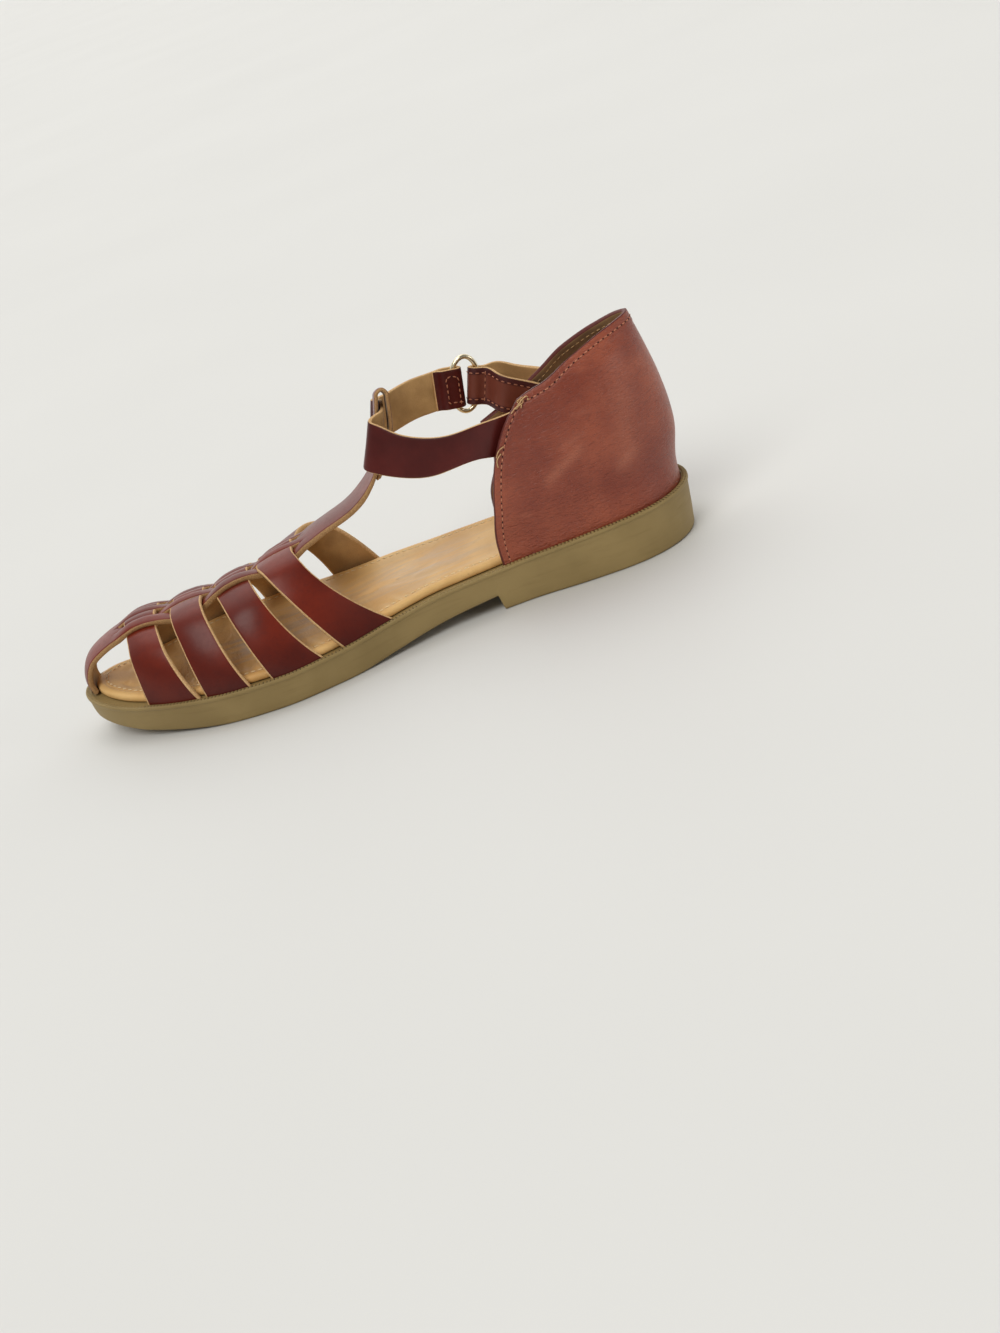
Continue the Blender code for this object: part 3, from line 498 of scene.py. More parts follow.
class Finish:
    """One material: a Principled shader and the nodes that feed it."""

    def __init__(self, name, roughness=0.5, **values):
        self.material = bpy.data.materials.new(name)
        self.material.use_nodes = True
        self.tree = self.material.node_tree
        self.shader = self.tree.nodes["Principled BSDF"]
        self.set(Roughness=roughness, **values)
        coordinates = self.node("ShaderNodeTexCoord", output="Object")
        self.mm = self.node("ShaderNodeVectorMath", {"operation": "SCALE"},
                            {"Vector": coordinates, "Scale": 1 / MM}, output="Vector")

    def height(self):
        """Height above the floor in millimetres."""
        return self.node("ShaderNodeSeparateXYZ", None, {"Vector": self.mm}, output="Z")

    def plug(self, socket, value):
        if isinstance(value, Value):
            self.tree.links.new(value.socket, socket)
        else:
            socket.default_value = value

    def node(self, kind, settings=None, inputs=None, output=0):
        """Add a node: its settings first, then the values or links of its sockets."""
        node = self.tree.nodes.new(kind)
        for name, value in (settings or {}).items():
            setattr(node, name, value)
        for name, value in (inputs or {}).items():
            self.plug(node.inputs[name], value)
        return Value(self, node.outputs[output])

    def math(self, operation, *terms):
        return self.node("ShaderNodeMath", {"operation": operation}, dict(enumerate(terms)))

    def mix(self, share, first, second):
        """Colour between two colours."""
        inputs = {0: share, 6: first, 7: second}
        return self.node("ShaderNodeMix", {"data_type": "RGBA"}, inputs, output=2)

    def noise(self, scale, detail=3.0, stretch=(1.0, 1.0, 1.0), distortion=0.0):
        """Cloudy value round 0.5; scale is per millimetre."""
        at = self.node("ShaderNodeMapping", None, {"Vector": self.mm, "Scale": stretch}, output="Vector")
        inputs = {"Vector": at, "Scale": scale, "Detail": detail, "Distortion": distortion}
        return self.node("ShaderNodeTexNoise", None, inputs, output="Fac")

    def cells(self, scale, stretch=(1.0, 1.0, 1.0)):
        """Distance to the nearest cell wall, for leather pebbles."""
        at = self.node("ShaderNodeMapping", None, {"Vector": self.mm, "Scale": stretch}, output="Vector")
        inputs = {"Vector": at, "Scale": scale}
        return self.node("ShaderNodeTexVoronoi", {"feature": "DISTANCE_TO_EDGE"}, inputs)

    def attribute(self, name):
        return self.node("ShaderNodeAttribute", {"attribute_name": name}, output="Fac")

    def bump(self, height, depth):
        """Relief of a 0 to 1 height, depth in millimetres, added under any relief given before."""
        node = self.tree.nodes.new("ShaderNodeBump")
        node.inputs["Distance"].default_value = depth * MM
        self.plug(node.inputs["Height"], height)
        before = self.shader.inputs["Normal"].links
        if before:
            self.tree.links.new(before[0].from_socket, node.inputs["Normal"])
        self.tree.links.new(node.outputs["Normal"], self.shader.inputs["Normal"])

    def set(self, **values):
        for name, value in values.items():
            self.plug(self.shader.inputs[name.replace("_", " ")], value)


def paint(red, green, blue):
    """Linear colour from the 0 to 255 shades of a paint card."""
    def linear(shade):
        shade /= 255
        return shade / 12.92 if shade <= 0.04045 else ((shade + 0.055) / 1.055) ** 2.4
    return (linear(red), linear(green), linear(blue), 1.0)


def strap_leather(name, dark, pale):
    """Glossy maroon-brown full grain leather, a little paler where it is handled, and darker towards the sole
    as painted shade.
    """
    finish = Finish(name, Coat_Roughness=0.25, Coat_Weight=0.08, Specular_IOR_Level=0.24)
    cloud = finish.noise(0.05, 4.0)
    fine = finish.noise(0.7, 3.0)
    tone = finish.mix(cloud.between(0.3, 0.75), dark, pale)
    tone = finish.mix(fine.between(0.45, 0.8) * 0.25, tone, paint(70, 20, 16))
    # Painted shade: darker towards the sole, where the low ends of the straps get less light.
    tone = finish.mix(0.45 * (1 - finish.height().between(13.0, 32.0)), tone, paint(52, 14, 12))
    finish.set(Base_Color=tone, Roughness=0.27 + 0.14 * fine + 0.06 * cloud)
    finish.bump(finish.cells(1.9), 0.025)
    finish.bump(finish.noise(0.2, 3.0), 0.08)
    return finish.material


def cut_edge(name, dark, pale):
    """Raw ochre edge of the leather, with the fibres that the knife leaves."""
    finish = Finish(name, roughness=0.78)
    fibres = finish.noise(2.2, 4.0)
    tone = finish.mix(fibres.between(0.3, 0.7), dark, pale)
    tone = finish.mix(finish.noise(0.12, 2.0).between(0.5, 0.75) * 0.35, tone, paint(150, 108, 68))
    finish.set(Base_Color=tone)
    finish.bump(fibres, 0.05)
    return finish.material


def suede(name, dark, pale):
    """Napped flesh side of the leather."""
    finish = Finish(name, roughness=0.95, Sheen_Weight=0.25, Sheen_Roughness=0.5)
    nap = finish.noise(2.4, 5.0)
    cloud = finish.noise(0.09, 4.0)
    tone = finish.mix(cloud.between(0.3, 0.7), dark, pale)
    tone = finish.mix(nap.between(0.45, 0.75) * 0.35, tone, dark)
    finish.set(Base_Color=tone)
    finish.bump(nap, 0.12)
    return finish.material


def panelled_leather():
    """Closure strap: dark border, paler and duller panel inside its stitching."""
    finish = Finish("closure_grain", Coat_Roughness=0.3, Coat_Weight=0.1, Specular_IOR_Level=0.35)
    cloud = finish.noise(0.08, 4.0)
    panel = finish.attribute("edge").between(2.3, 3.3)
    border = finish.mix(cloud, paint(66, 27, 28), paint(84, 34, 34))
    inside = finish.mix(cloud, paint(104, 50, 38), paint(126, 66, 50))
    finish.set(Base_Color=finish.mix(panel, border, inside), Roughness=0.42 + 0.15 * cloud)
    finish.bump(finish.cells(1.9), 0.03)
    finish.bump(finish.noise(0.2, 3.0), 0.12)
    return finish.material


def counter_leather():
    """Softer red-brown leather with a wrinkled grain, painted shade in its wrinkles' troughs, and paler lines
    that are partly rubbed places and partly painted highlight and sheen.
    """
    finish = Finish("counter_grain", Coat_Roughness=0.3, Coat_Weight=0.2, Specular_IOR_Level=0.45)
    cloud = finish.noise(0.035, 4.0)
    wrinkle = finish.noise(0.9, 2.0, stretch=(0.4, 0.4, 1.3), distortion=0.8)
    worn = finish.noise(0.11, 5.0, stretch=(0.5, 0.5, 1.0))
    tone = finish.mix(cloud.between(0.3, 0.7), paint(130, 55, 35), paint(160, 80, 53))
    # Painted shade: darker in the wrinkles' troughs, where the bump from the same noise sinks.
    tone = finish.mix((1 - wrinkle.between(0.32, 0.52)) * 0.25, tone, paint(98, 37, 26))
    tone = finish.mix(worn.between(0.6, 0.8) * 0.35, tone, paint(182, 104, 78))
    # Paler lines: partly rubbed places, partly a painted highlight along the long crease and a painted sheen
    # band near the back.
    scuff = finish.attribute("scuff")
    tone = finish.mix(scuff * (0.2 + 0.8 * finish.noise(1.6, 4.0)), tone, paint(192, 118, 90))
    finish.set(Base_Color=tone, Roughness=0.3 + 0.12 * wrinkle + 0.08 * cloud)
    finish.bump(finish.cells(1.3, (0.7, 0.7, 1.2)), 0.05)
    finish.bump(wrinkle, 0.5)
    return finish.material


def binding_leather():
    """Dark red folded edge of the counter."""
    finish = Finish("folded_edge", Coat_Weight=0.1, Specular_IOR_Level=0.35)
    fine = finish.noise(0.8, 4.0)
    finish.set(Base_Color=finish.mix(fine, paint(74, 26, 23), paint(108, 44, 36)))
    finish.set(Roughness=0.42 + 0.15 * fine)
    finish.bump(fine, 0.1)
    return finish.material


def insole_leather():
    """Camel leather footbed, polished and greyed where the foot has rubbed it: the grey is partly wear and
    partly a painted reflection of the polished patches.
    """
    finish = Finish("insole_grain", Coat_Roughness=0.35, Coat_Weight=0.08, Specular_IOR_Level=0.35)
    cloud = finish.noise(0.045, 4.0)
    streak = finish.noise(0.12, 4.0, stretch=(0.3, 1.4, 1.0), distortion=0.6)
    worn = finish.attribute("worn")
    tone = finish.mix(cloud.between(0.3, 0.7), paint(212, 164, 98), paint(230, 188, 124))
    # Greyer where the foot pressed: wear, and a painted reflection of the polished patches.
    tone = finish.mix(worn * (0.2 + 0.65 * streak.between(0.4, 0.6)), tone, paint(176, 148, 116))
    tone = finish.mix(finish.noise(0.5, 4.0).between(0.62, 0.8) * 0.4, tone, paint(158, 116, 72))
    finish.set(Base_Color=tone, Roughness=0.58 - 0.3 * worn * streak.between(0.35, 0.6))
    finish.bump(finish.noise(0.16, 4.0, stretch=(1.0, 0.5, 1.0), distortion=0.9), 0.5)
    finish.bump(finish.cells(1.3), 0.04)
    return finish.material


def sole_rubber():
    """Olive-khaki moulded sole, smooth with faint flow marks and dust."""
    finish = Finish("sole_rubber")
    cloud = finish.noise(0.03, 4.0)
    flow = finish.noise(0.25, 4.0, stretch=(0.25, 0.25, 2.2))
    tone = finish.mix(cloud.between(0.3, 0.7), paint(136, 114, 68), paint(154, 131, 83))
    tone = finish.mix(flow.between(0.5, 0.8) * 0.35, tone, paint(124, 102, 62))
    speck = finish.noise(1.6, 3.0).between(0.7, 0.8)
    tone = finish.mix(speck * 0.5, tone, paint(104, 86, 56))
    finish.set(Base_Color=tone, Roughness=0.5 + 0.2 * flow)
    finish.bump(flow, 0.08)
    return finish.material


def thread(name, dark, pale):
    """Twisted sewing thread."""
    finish = Finish(name, roughness=0.6)
    twist = finish.noise(3.0, 2.0)
    finish.set(Base_Color=finish.mix(twist.between(0.3, 0.7), dark, pale))
    finish.bump(twist, 0.06)
    return finish.material


def plain(name, colour, roughness):
    """One dull colour with a little grime, used for the painted shade of grooves and needle holes."""
    finish = Finish(name, roughness=roughness)
    grime = finish.noise(0.4, 3.0)
    finish.set(Base_Color=finish.mix(grime * 0.3, colour, (0.01, 0.008, 0.006, 1.0)))
    return finish.material


def plated_wire():
    """Pale gold plating, lightly brushed."""
    finish = Finish("pale_gold", Metallic=1.0)
    brushed = finish.noise(1.8, 4.0)
    finish.set(Base_Color=finish.mix(brushed, paint(214, 200, 168), paint(236, 226, 200)))
    finish.set(Roughness=0.16 + 0.14 * brushed)
    finish.bump(brushed, 0.02)
    return finish.material


STRAP = strap_leather("strap_grain", paint(92, 24, 12), paint(118, 36, 18))
DARK_STRAP = strap_leather("ankle_grain", paint(68, 20, 18), paint(90, 30, 26))
CLOSURE = panelled_leather()
CUT = cut_edge("cut_edge", paint(188, 146, 96), paint(220, 184, 134))
# A darker copy of the cut edge for the vamp: painted shade, as the vamp's cut edges lie in shade.
VAMP_CUT_SHADED = cut_edge("vamp_edge_shaded", paint(150, 112, 70), paint(186, 146, 98))
FLESH = suede("flesh_side", paint(160, 124, 76), paint(194, 155, 102))
LINING = suede("counter_lining", paint(122, 92, 60), paint(152, 118, 78))
COUNTER = counter_leather()
BINDING = binding_leather()
INSOLE = insole_leather()
SOLE = sole_rubber()
# Dark spots in the rim's grooves between its teeth: painted shade.
GROOVE_SHADE = plain("rim_groove_shade", paint(88, 70, 40), 0.85)
HEM_THREAD = thread("hem_thread", paint(160, 90, 66), paint(206, 140, 108))
TAN_THREAD = thread("tan_thread", paint(184, 142, 92), paint(224, 188, 138))
# Dark spots at the stitch holes: painted shade standing in for the holes' depth.
HOLE_SHADE = plain("needle_hole_shade", paint(62, 27, 20), 0.9)
FOOTBED_THREAD = thread("footbed_thread", paint(230, 202, 152), paint(246, 226, 186))
GOLD = plated_wire()


# ---------------------------------------------------------------- meshes

def finish_piece(mesh, name, nodes=(), sharp=50.0):
    """Make the mesh a piece of the sandal, standing for the given solids."""
    piece = bpy.data.objects.new(name, mesh)
    bpy.context.scene.collection.objects.link(piece)
    mesh.shade_smooth()
    mesh.set_sharp_from_angle(angle=math.radians(sharp))
    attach(piece, "root")
    if nodes:
        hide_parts(*nodes)


def make_mesh(name, vertices, faces, materials, face_materials=None, attributes=None):
    """Mesh from millimetre points."""
    mesh = bpy.data.meshes.new(name)
    mesh.from_pydata(np.asarray(vertices) * MM, [], faces)
    for material in materials:
        mesh.materials.append(material)
    if face_materials is not None:
        mesh.polygons.foreach_set("material_index", np.asarray(face_materials, dtype=np.int32))
    for key, values in (attributes or {}).items():
        layer = mesh.attributes.new(key, "FLOAT", "POINT")
        layer.data.foreach_set("value", np.asarray(values, dtype=np.float32))
    mesh.validate()
    return mesh


def outward_faces(mesh):
    """Turn every face to the outside."""
    work = bmesh.new()
    work.from_mesh(mesh)
    bmesh.ops.recalc_face_normals(work, faces=work.faces)
    work.to_mesh(mesh)
    work.free()


def between_rings(levels, around):
    """Faces that join each ring of points to the next ring."""
    return [(base + i, base + (i + 1) % around, base + around + (i + 1) % around, base + around + i)
            for base in range(0, (levels - 1) * around, around) for i in range(around)]


def across_ring(base, around):
    """Faces that close a ring, each from its medial side straight over to its lateral side."""
    pairs = [(base + i - 1, base + i, base + around - i, base + (around - i + 1) % around)
             for i in range(1, around // 2 + 1)]
    return [tuple(dict.fromkeys(pair)) for pair in pairs]


class Wall:
    """Leather as one surface of points with its cells, grown to two faces and cut edges."""

    def __init__(self):
        self.points, self.out, self.inward, self.edge, self.cells, self.extra = [], [], [], [], [], []
        self.count = 0

    def grid(self, points, out, inward, edge, extra=0.0, numbers=None):
        """Add a grid of points; numbers may give existing points in place of some new ones."""
        shape = points.shape[:2]
        own = np.arange(self.count, self.count + shape[0] * shape[1]).reshape(shape)
        self.count += shape[0] * shape[1]
        self.points.append(points.reshape(-1, 3))
        for store, value in ((self.out, out), (self.inward, inward), (self.edge, edge), (self.extra, extra)):
            store.append(np.broadcast_to(np.asarray(value, dtype=float), shape).reshape(-1))
        if numbers is not None:
            own = np.where(numbers >= 0, numbers, own)
        cells = np.stack((own[:-1, :-1], own[1:, :-1], own[1:, 1:], own[:-1, 1:]), axis=-1)
        self.cells.append(cells.reshape(-1, 4))
        return own

    def build(self, name, materials, corner, bulge=0.12, cut_share=0.3):
        """Closed mesh: outer face, inner face and rounded cut edge, one material each."""
        points = np.vstack(self.points)
        cells = np.vstack(self.cells)
        out, inward, edge, extra = (np.concatenate(a) for a in (self.out, self.inward, self.edge, self.extra))
        a, b, c, d = (points[cells[:, k]] for k in range(4))
        flat = np.cross(c - a, d - b)
        normals = np.zeros_like(points)
        for k in range(4):
            np.add.at(normals, cells[:, k], flat)
        normals /= np.maximum(np.linalg.norm(normals, axis=1), 1e-9)[:, None]
        near = np.clip(corner - edge, 0.0, corner)
        fall = corner - np.sqrt(np.maximum(corner ** 2 - near ** 2, 0.0))
        outer = points + normals * (out - np.minimum(fall, out * 0.8))[:, None]
        inner = points - normals * (inward - np.minimum(fall, inward * 0.6))[:, None]
        sides = np.vstack([cells[:, [k, (k + 1) % 4]] for k in range(4)])
        keys = {tuple(pair) for pair in sides.tolist()}
        border = np.array([pair for pair in sorted(keys) if pair[::-1] not in keys])
        away = np.zeros_like(points)
        run = points[border[:, 1]] - points[border[:, 0]]
        side_way = np.cross(run, normals[border[:, 0]])
        for k in range(2):
            np.add.at(away, border[:, k], side_way)
        away /= np.maximum(np.linalg.norm(away, axis=1), 1e-9)[:, None]
        middle = (outer + inner) / 2 + away * bulge
        count = len(points)
        vertices = np.vstack((outer, inner, middle))
        back = cells[:, ::-1] + count
        first, second = border[:, 0], border[:, 1]
        upper = np.stack((second, first, first + 2 * count, second + 2 * count), axis=1)
        lower = np.stack((second + 2 * count, first + 2 * count, first + count, second + count), axis=1)
        faces = np.vstack((cells, back, upper, lower))
        rim_cell = (edge[cells] < cut_share * corner + 1e-6).sum(axis=1) >= 2
        face_materials = np.concatenate((np.where(rim_cell, 2, 0), np.where(rim_cell, 2, 1),
                                         np.full(len(upper) + len(lower), 2)))
        used = np.zeros(len(vertices), dtype=bool)
        used[faces.reshape(-1)] = True
        renumber = np.cumsum(used) - 1
        data = {"edge": np.tile(edge, 3)[used], "scuff": np.tile(extra, 3)[used]}
        return make_mesh(name, vertices[used], renumber[faces].tolist(), materials, face_materials, data)


EDGE_CROWD = np.array((0.0, 0.12, 0.4, 1.0))


def edge_shares(length, corner, step):
    """Shares 0 to 1 along a length, crowded at both ends so that a rounded edge can be drawn."""
    close = EDGE_CROWD * corner / length
    middle = np.linspace(close[-1], 1 - close[-1], max(int(length / step), 2) + 1)[1:-1]
    return np.concatenate((close, middle, 1 - close[::-1]))


def run_both_ways(grid):
    """Distance in millimetres from the first row and from the first column, at each grid point."""
    down = np.zeros(grid.shape[:2])
    down[1:] = np.cumsum(np.linalg.norm(np.diff(grid, axis=0), axis=2), axis=0)
    over = np.zeros(grid.shape[:2])
    over[:, 1:] = np.cumsum(np.linalg.norm(np.diff(grid, axis=1), axis=2), axis=1)
    return down, over


def grid_normals(grid):
    """Unit normals of a grid of points."""
    along = np.gradient(grid, axis=0)
    across = np.gradient(grid, axis=1)
    normals = np.cross(along, across)
    return normals / np.maximum(np.linalg.norm(normals, axis=2), 1e-9)[..., None]


def facing(grid, way, row_share=0.5):
    """The grid, its columns turned round if needed so that its normal there points along way."""
    row, column = int(row_share * (grid.shape[0] - 1)), grid.shape[1] // 2
    return grid if grid_normals(grid)[row, column] @ way > 0 else grid[:, ::-1]


# ---------------------------------------------------------------- what repeats along a path

def repeat_tree():
    """Geometry Nodes: rounded beads laid along curves, each square to its curve and surface."""
    tree = bpy.data.node_groups.new("beads_along_a_path", "GeometryNodeTree")
    kinds = (("Path", "Geometry"), ("Pitch", "Float"), ("Bead Size", "Vector"), ("Bead Finish", "Material"),
             ("Hole Size", "Vector"), ("Hole Finish", "Material"))
    for name, kind in kinds:
        tree.interface.new_socket(name=name, in_out="INPUT", socket_type="NodeSocket" + kind)
    tree.interface.new_socket(name="Beads", in_out="OUTPUT", socket_type="NodeSocketGeometry")

    def add(kind, settings=None, inputs=None):
        node = tree.nodes.new(kind)
        for name, value in (settings or {}).items():
            setattr(node, name, value)
        for name, value in (inputs or {}).items():
            if isinstance(value, bpy.types.NodeSocket):
                tree.links.new(value, node.inputs[name])
            else:
                node.inputs[name].default_value = value
        return node

    given = add("NodeGroupInput").outputs
    curve = add("GeometryNodeMeshToCurve", None, {"Mesh": given["Path"]}).outputs["Curve"]
    spaced = add("GeometryNodeResampleCurve", {"mode": "LENGTH"}, {"Curve": curve, "Length": given["Pitch"]})
    tangent = add("GeometryNodeInputTangent").outputs[0]
    square = add("GeometryNodeInputNamedAttribute", {"data_type": "FLOAT_VECTOR"}, {"Name": "square"})
    axes = {"primary_axis": "Z", "secondary_axis": "X"}
    turn = add("FunctionNodeAxesToRotation", axes,
               {"Primary Axis": square.outputs["Attribute"], "Secondary Axis": tangent})
    ball = add("GeometryNodeMeshUVSphere", None, {"Segments": 8, "Rings": 5, "Radius": 1.0})
    bead = add("GeometryNodeTransform", None, {"Geometry": ball.outputs["Mesh"], "Scale": given["Bead Size"]})
    bead = add("GeometryNodeSetMaterial", None,
               {"Geometry": bead.outputs[0], "Material": given["Bead Finish"]})
    # A flat dark spot half a pitch ahead of each bead: painted shade for a needle hole or a groove.
    half = add("ShaderNodeMath", {"operation": "MULTIPLY"}, {0: given["Pitch"], 1: 0.5})
    ahead = add("ShaderNodeCombineXYZ", None, {"X": half.outputs[0]})
    shade_spot = add("GeometryNodeTransform", None, {"Geometry": ball.outputs["Mesh"],
                                               "Scale": given["Hole Size"], "Translation": ahead.outputs[0]})
    shade_spot = add("GeometryNodeSetMaterial", None,
               {"Geometry": shade_spot.outputs[0], "Material": given["Hole Finish"]})
    unit = add("GeometryNodeJoinGeometry")
    tree.links.new(bead.outputs[0], unit.inputs[0])
    tree.links.new(shade_spot.outputs[0], unit.inputs[0])
    laid = add("GeometryNodeInstanceOnPoints", None,
               {"Points": spaced.outputs[0], "Instance": unit.outputs[0], "Rotation": turn.outputs[0]})
    real = add("GeometryNodeRealizeInstances", None, {"Geometry": laid.outputs[0]})
    shaded = add("GeometryNodeSetShadeSmooth", None, {"Geometry": real.outputs[0]})
    add("NodeGroupOutput", None, {"Beads": shaded.outputs[0]})
    return tree


REPEAT = repeat_tree()


# Each bead may carry a dark spot ahead of it: painted shade for a needle hole or a groove.
def beads(name, paths, pitch, size, finish, shade_spot=(0.0, 0.0, 0.0), shade_spot_finish=HOLE_SHADE):
    """Beads along several paths; a path is (points, normals, closed). Sizes are half lengths in mm."""
    vertices, edges, square = [], [], []
    for points, normals, closed in paths:
        start = len(vertices)
        vertices += [tuple(p * MM) for p in points]
        square += [tuple(n) for n in normals]
        edges += [(start + i, start + i + 1) for i in range(len(points) - 1)]
        if closed:
            edges.append((len(vertices) - 1, start))
    mesh = bpy.data.meshes.new(name)
    mesh.from_pydata(vertices, edges, [])
    layer = mesh.attributes.new("square", "FLOAT_VECTOR", "POINT")
    layer.data.foreach_set("vector", np.array(square, dtype=np.float32).reshape(-1))
    carrier = bpy.data.objects.new(name + "_path", mesh)
    bpy.context.scene.collection.objects.link(carrier)
    modifier = carrier.modifiers.new("beads", "NODES")
    modifier.node_group = REPEAT
    values = {"Pitch": pitch * MM, "Bead Size": [v * MM for v in size], "Bead Finish": finish,
              "Hole Size": [v * MM for v in shade_spot], "Hole Finish": shade_spot_finish}
    for item in REPEAT.interface.items_tree:
        if item.name in values:
            modifier[item.identifier] = values[item.name]
    bpy.context.view_layer.update()
    evaluated = carrier.evaluated_get(bpy.context.evaluated_depsgraph_get())
    made = bpy.data.meshes.new_from_object(evaluated)
    bpy.data.objects.remove(carrier, do_unlink=True)
    if max(shade_spot) == 0.0:
        work = bmesh.new()
        work.from_mesh(made)
        flat = [f for f in work.faces if f.calc_area() < 1e-14]
        bmesh.ops.delete(work, geom=flat, context="FACES")
        work.to_mesh(made)
        work.free()
    made.name = name
    finish_piece(made, name, sharp=80.0)


def cord_piece(name, strands, radius, finish):
    """Short loose threads: tubes along smooth lines, ends closed."""
    vertices, faces = [], []
    sides = 6
    for strand in strands:
        line = smooth(strand, 4 * len(strand))
        way = np.gradient(line, axis=0)
        way /= np.linalg.norm(way, axis=1)[:, None]
        first = len(vertices)
        for point, forward in zip(line, way):
            right = np.cross(forward, UP)
            right /= max(np.linalg.norm(right), 1e-6)
            above = np.cross(right, forward)
            for k in range(sides):
                turn = 2 * math.pi * k / sides
                vertices.append(point + radius * (right * math.cos(turn) + above * math.sin(turn)))
        for i in range(len(line) - 1):
            for k in range(sides):
                a, b = first + i * sides + k, first + i * sides + (k + 1) % sides
                faces.append((a, b, b + sides, a + sides))
        faces.append(tuple(range(first, first + sides))[::-1])
        faces.append(tuple(range(len(vertices) - sides, len(vertices))))
    finish_piece(make_mesh(name, vertices, faces, [finish]), name)


# ---------------------------------------------------------------- sole and insole

# Rings of the sole, each at an inset from its outline. The second number is the rise above the
# underside for the tread, the share of the way up for the side, and the drop from the rim's top
# for the rim.
TREAD_PROFILE = [(14.0, 0.0), (3.4, 0.0)]
TREAD_PROFILE += [(2.6 - 1.5 * math.sin(turn), 1.3 * (1 - math.cos(turn)))
                  for turn in np.linspace(0, math.pi / 2, 5)]
SIDE_PROFILE = ((0.85, 0.4), (0.65, 0.75))
RIM_PROFILE = (
    (SIDE_STEP, RIM_BAND + 0.1),
    (SIDE_STEP - 0.05, RIM_BAND - 0.1),
    (0.12, RIM_BAND - SIDE_STEP),
    (0.0, RIM_BAND - SIDE_STEP - 0.25),
    (0.0, 0.45),
    (0.12, 0.16),
    (0.4, 0.02),
    (RIM_WIDTH - 0.3, 0.0),
    (RIM_WIDTH, 0.12),
    (RIM_WIDTH + 0.05, RIM_HEIGHT),
    (12.0, RIM_HEIGHT),
)
# Sizes of each tooth and of the dark spot beside it, which is painted shade for the groove between teeth.
RIM_NOTCH = ((0.5, 1.05, 0.4), (0.16, 0.9, 0.08))
RIM_MARK = ((0.4, 1.0, 0.14), (0.22, 0.95, 0.05))


def make_sole():
    """Moulded sole: rounded bottom edge, step under the rim, milled rim, sunk bed."""
    count = 150
    half = [SOLE_LENGTH * (1 - math.cos(math.pi * i / count)) / 2 for i in range(count + 1)]
    middle = (HEEL_BREAST[MEDIAL] + HEEL_BREAST[LATERAL]) / 2
    lean = (HEEL_BREAST[MEDIAL] - HEEL_BREAST[LATERAL]) / 2
    draft = HEEL_BREAST_DRAFT / 2
    half = [s for s in half if abs(s - middle) > 2.5 * draft]
    half = sorted(half + [middle - draft, middle - draft * 0.4, middle + draft * 0.4, middle + draft])
    pairs = []
    for s in half:
        fade = (middle - s) / middle if s < middle else (s - middle) / 70
        share = max(0.0, 1 - fade)
        pairs.append((s + lean * share, s - lean * share, ease((middle + draft - s) / (2 * draft))))
    stations = [(m, MEDIAL, block) for m, _, block in pairs]
    stations += [(l, LATERAL, block) for _, l, block in reversed(pairs[1:-1])]

    def bottom(s, block):
        return SOLE_HEIGHTS.read("bottom", s) * (1 - block)

    def ring(inset, height, undercut=0.0):
        points = []
        for s, side, block in stations:
            heel, across = outline_point(s, side, inset)
            point = place(heel, across, height(s, block))
            point[0] -= undercut * max(1 - (HEEL_AT - point[0]) / HEEL_UNDERCUT_LENGTH, 0.0)
            points.append(point)
        return np.array(points)

    def under_rim(drop):
        return lambda s, block: sole_top(s) - drop

    def above_ground(rise):
        return lambda s, block: bottom(s, block) + rise

    def up_side(share):
        return lambda s, block: bottom(s, block) * (1 - share) + (sole_top(s) - RIM_BAND) * share

    rings = [ring(inset, above_ground(rise), HEEL_UNDERCUT) for inset, rise in TREAD_PROFILE]
    rings += [ring(inset, up_side(share), HEEL_UNDERCUT * (1 - share)) for inset, share in SIDE_PROFILE]
    rings += [ring(inset, under_rim(drop)) for inset, drop in RIM_PROFILE]
    around = len(stations)
    faces = between_rings(len(rings), around)
    faces += across_ring(0, around) + across_ring((len(rings) - 1) * around, around)
    mesh = make_mesh("sole", np.vstack(rings), faces, [SOLE])
    outward_faces(mesh)
    finish_piece(mesh, "sole", ["outsole"], sharp=38.0)

    rim = loop_stations(170)
    toe = len(rim) // 2
    rear = [station for station in rim[toe:] + rim[:toe] if station[0] < NOTCHES_TO]
    for name, run, closed, (tooth, groove_shade) in (("rim_notches", rear, False, RIM_NOTCH),
                                               ("rim_marks", rim, True, RIM_MARK)):
        path = outline_loop(run, RIM_WIDTH * 0.5, lambda s, side: sole_top(s))
        beads(name, [(path, np.tile(UP, (len(path), 1)), closed)], RIM_PITCH, tooth, SOLE,
              shade_spot=groove_shade, shade_spot_finish=GROOVE_SHADE)


INSOLE_WRINKLES = Table(
    "wrinkle from_heel across run_heel run_across width depth",
    (1, 122, -27, 6, 13, 1.6, 0.60),
    (2, 116, -24, 9, 16, 1.8, 0.50),
    (3, 152, -36, 5, 14, 1.5, 0.70),
    (4, 157, -34, 8, 13, 1.5, 0.60),
    (5, 182, -38, 4, 16, 1.5, 0.70),
    (6, 187, -37, 7, 14, 1.4, 0.60),
    (7, 205, -33, 2, 14, 1.4, 0.60),
    (8, 150, 30, -3, 10, 1.6, 0.35),
    (9, 184, 30, -2, 11, 1.6, 0.35),
    (10, 205, 26, 1, 10, 1.5, 0.30),
    (11, 96, -6, 34, 10, 3.0, 0.35),
    (12, 102, 8, 30, -8, 3.2, 0.30),
    (13, 232, -14, 6, 10, 2.2, 0.45),
    (14, 238, 4, -5, 9, 2.0, 0.40),
    (15, 128, 2, 22, 5, 2.6, 0.30),
)


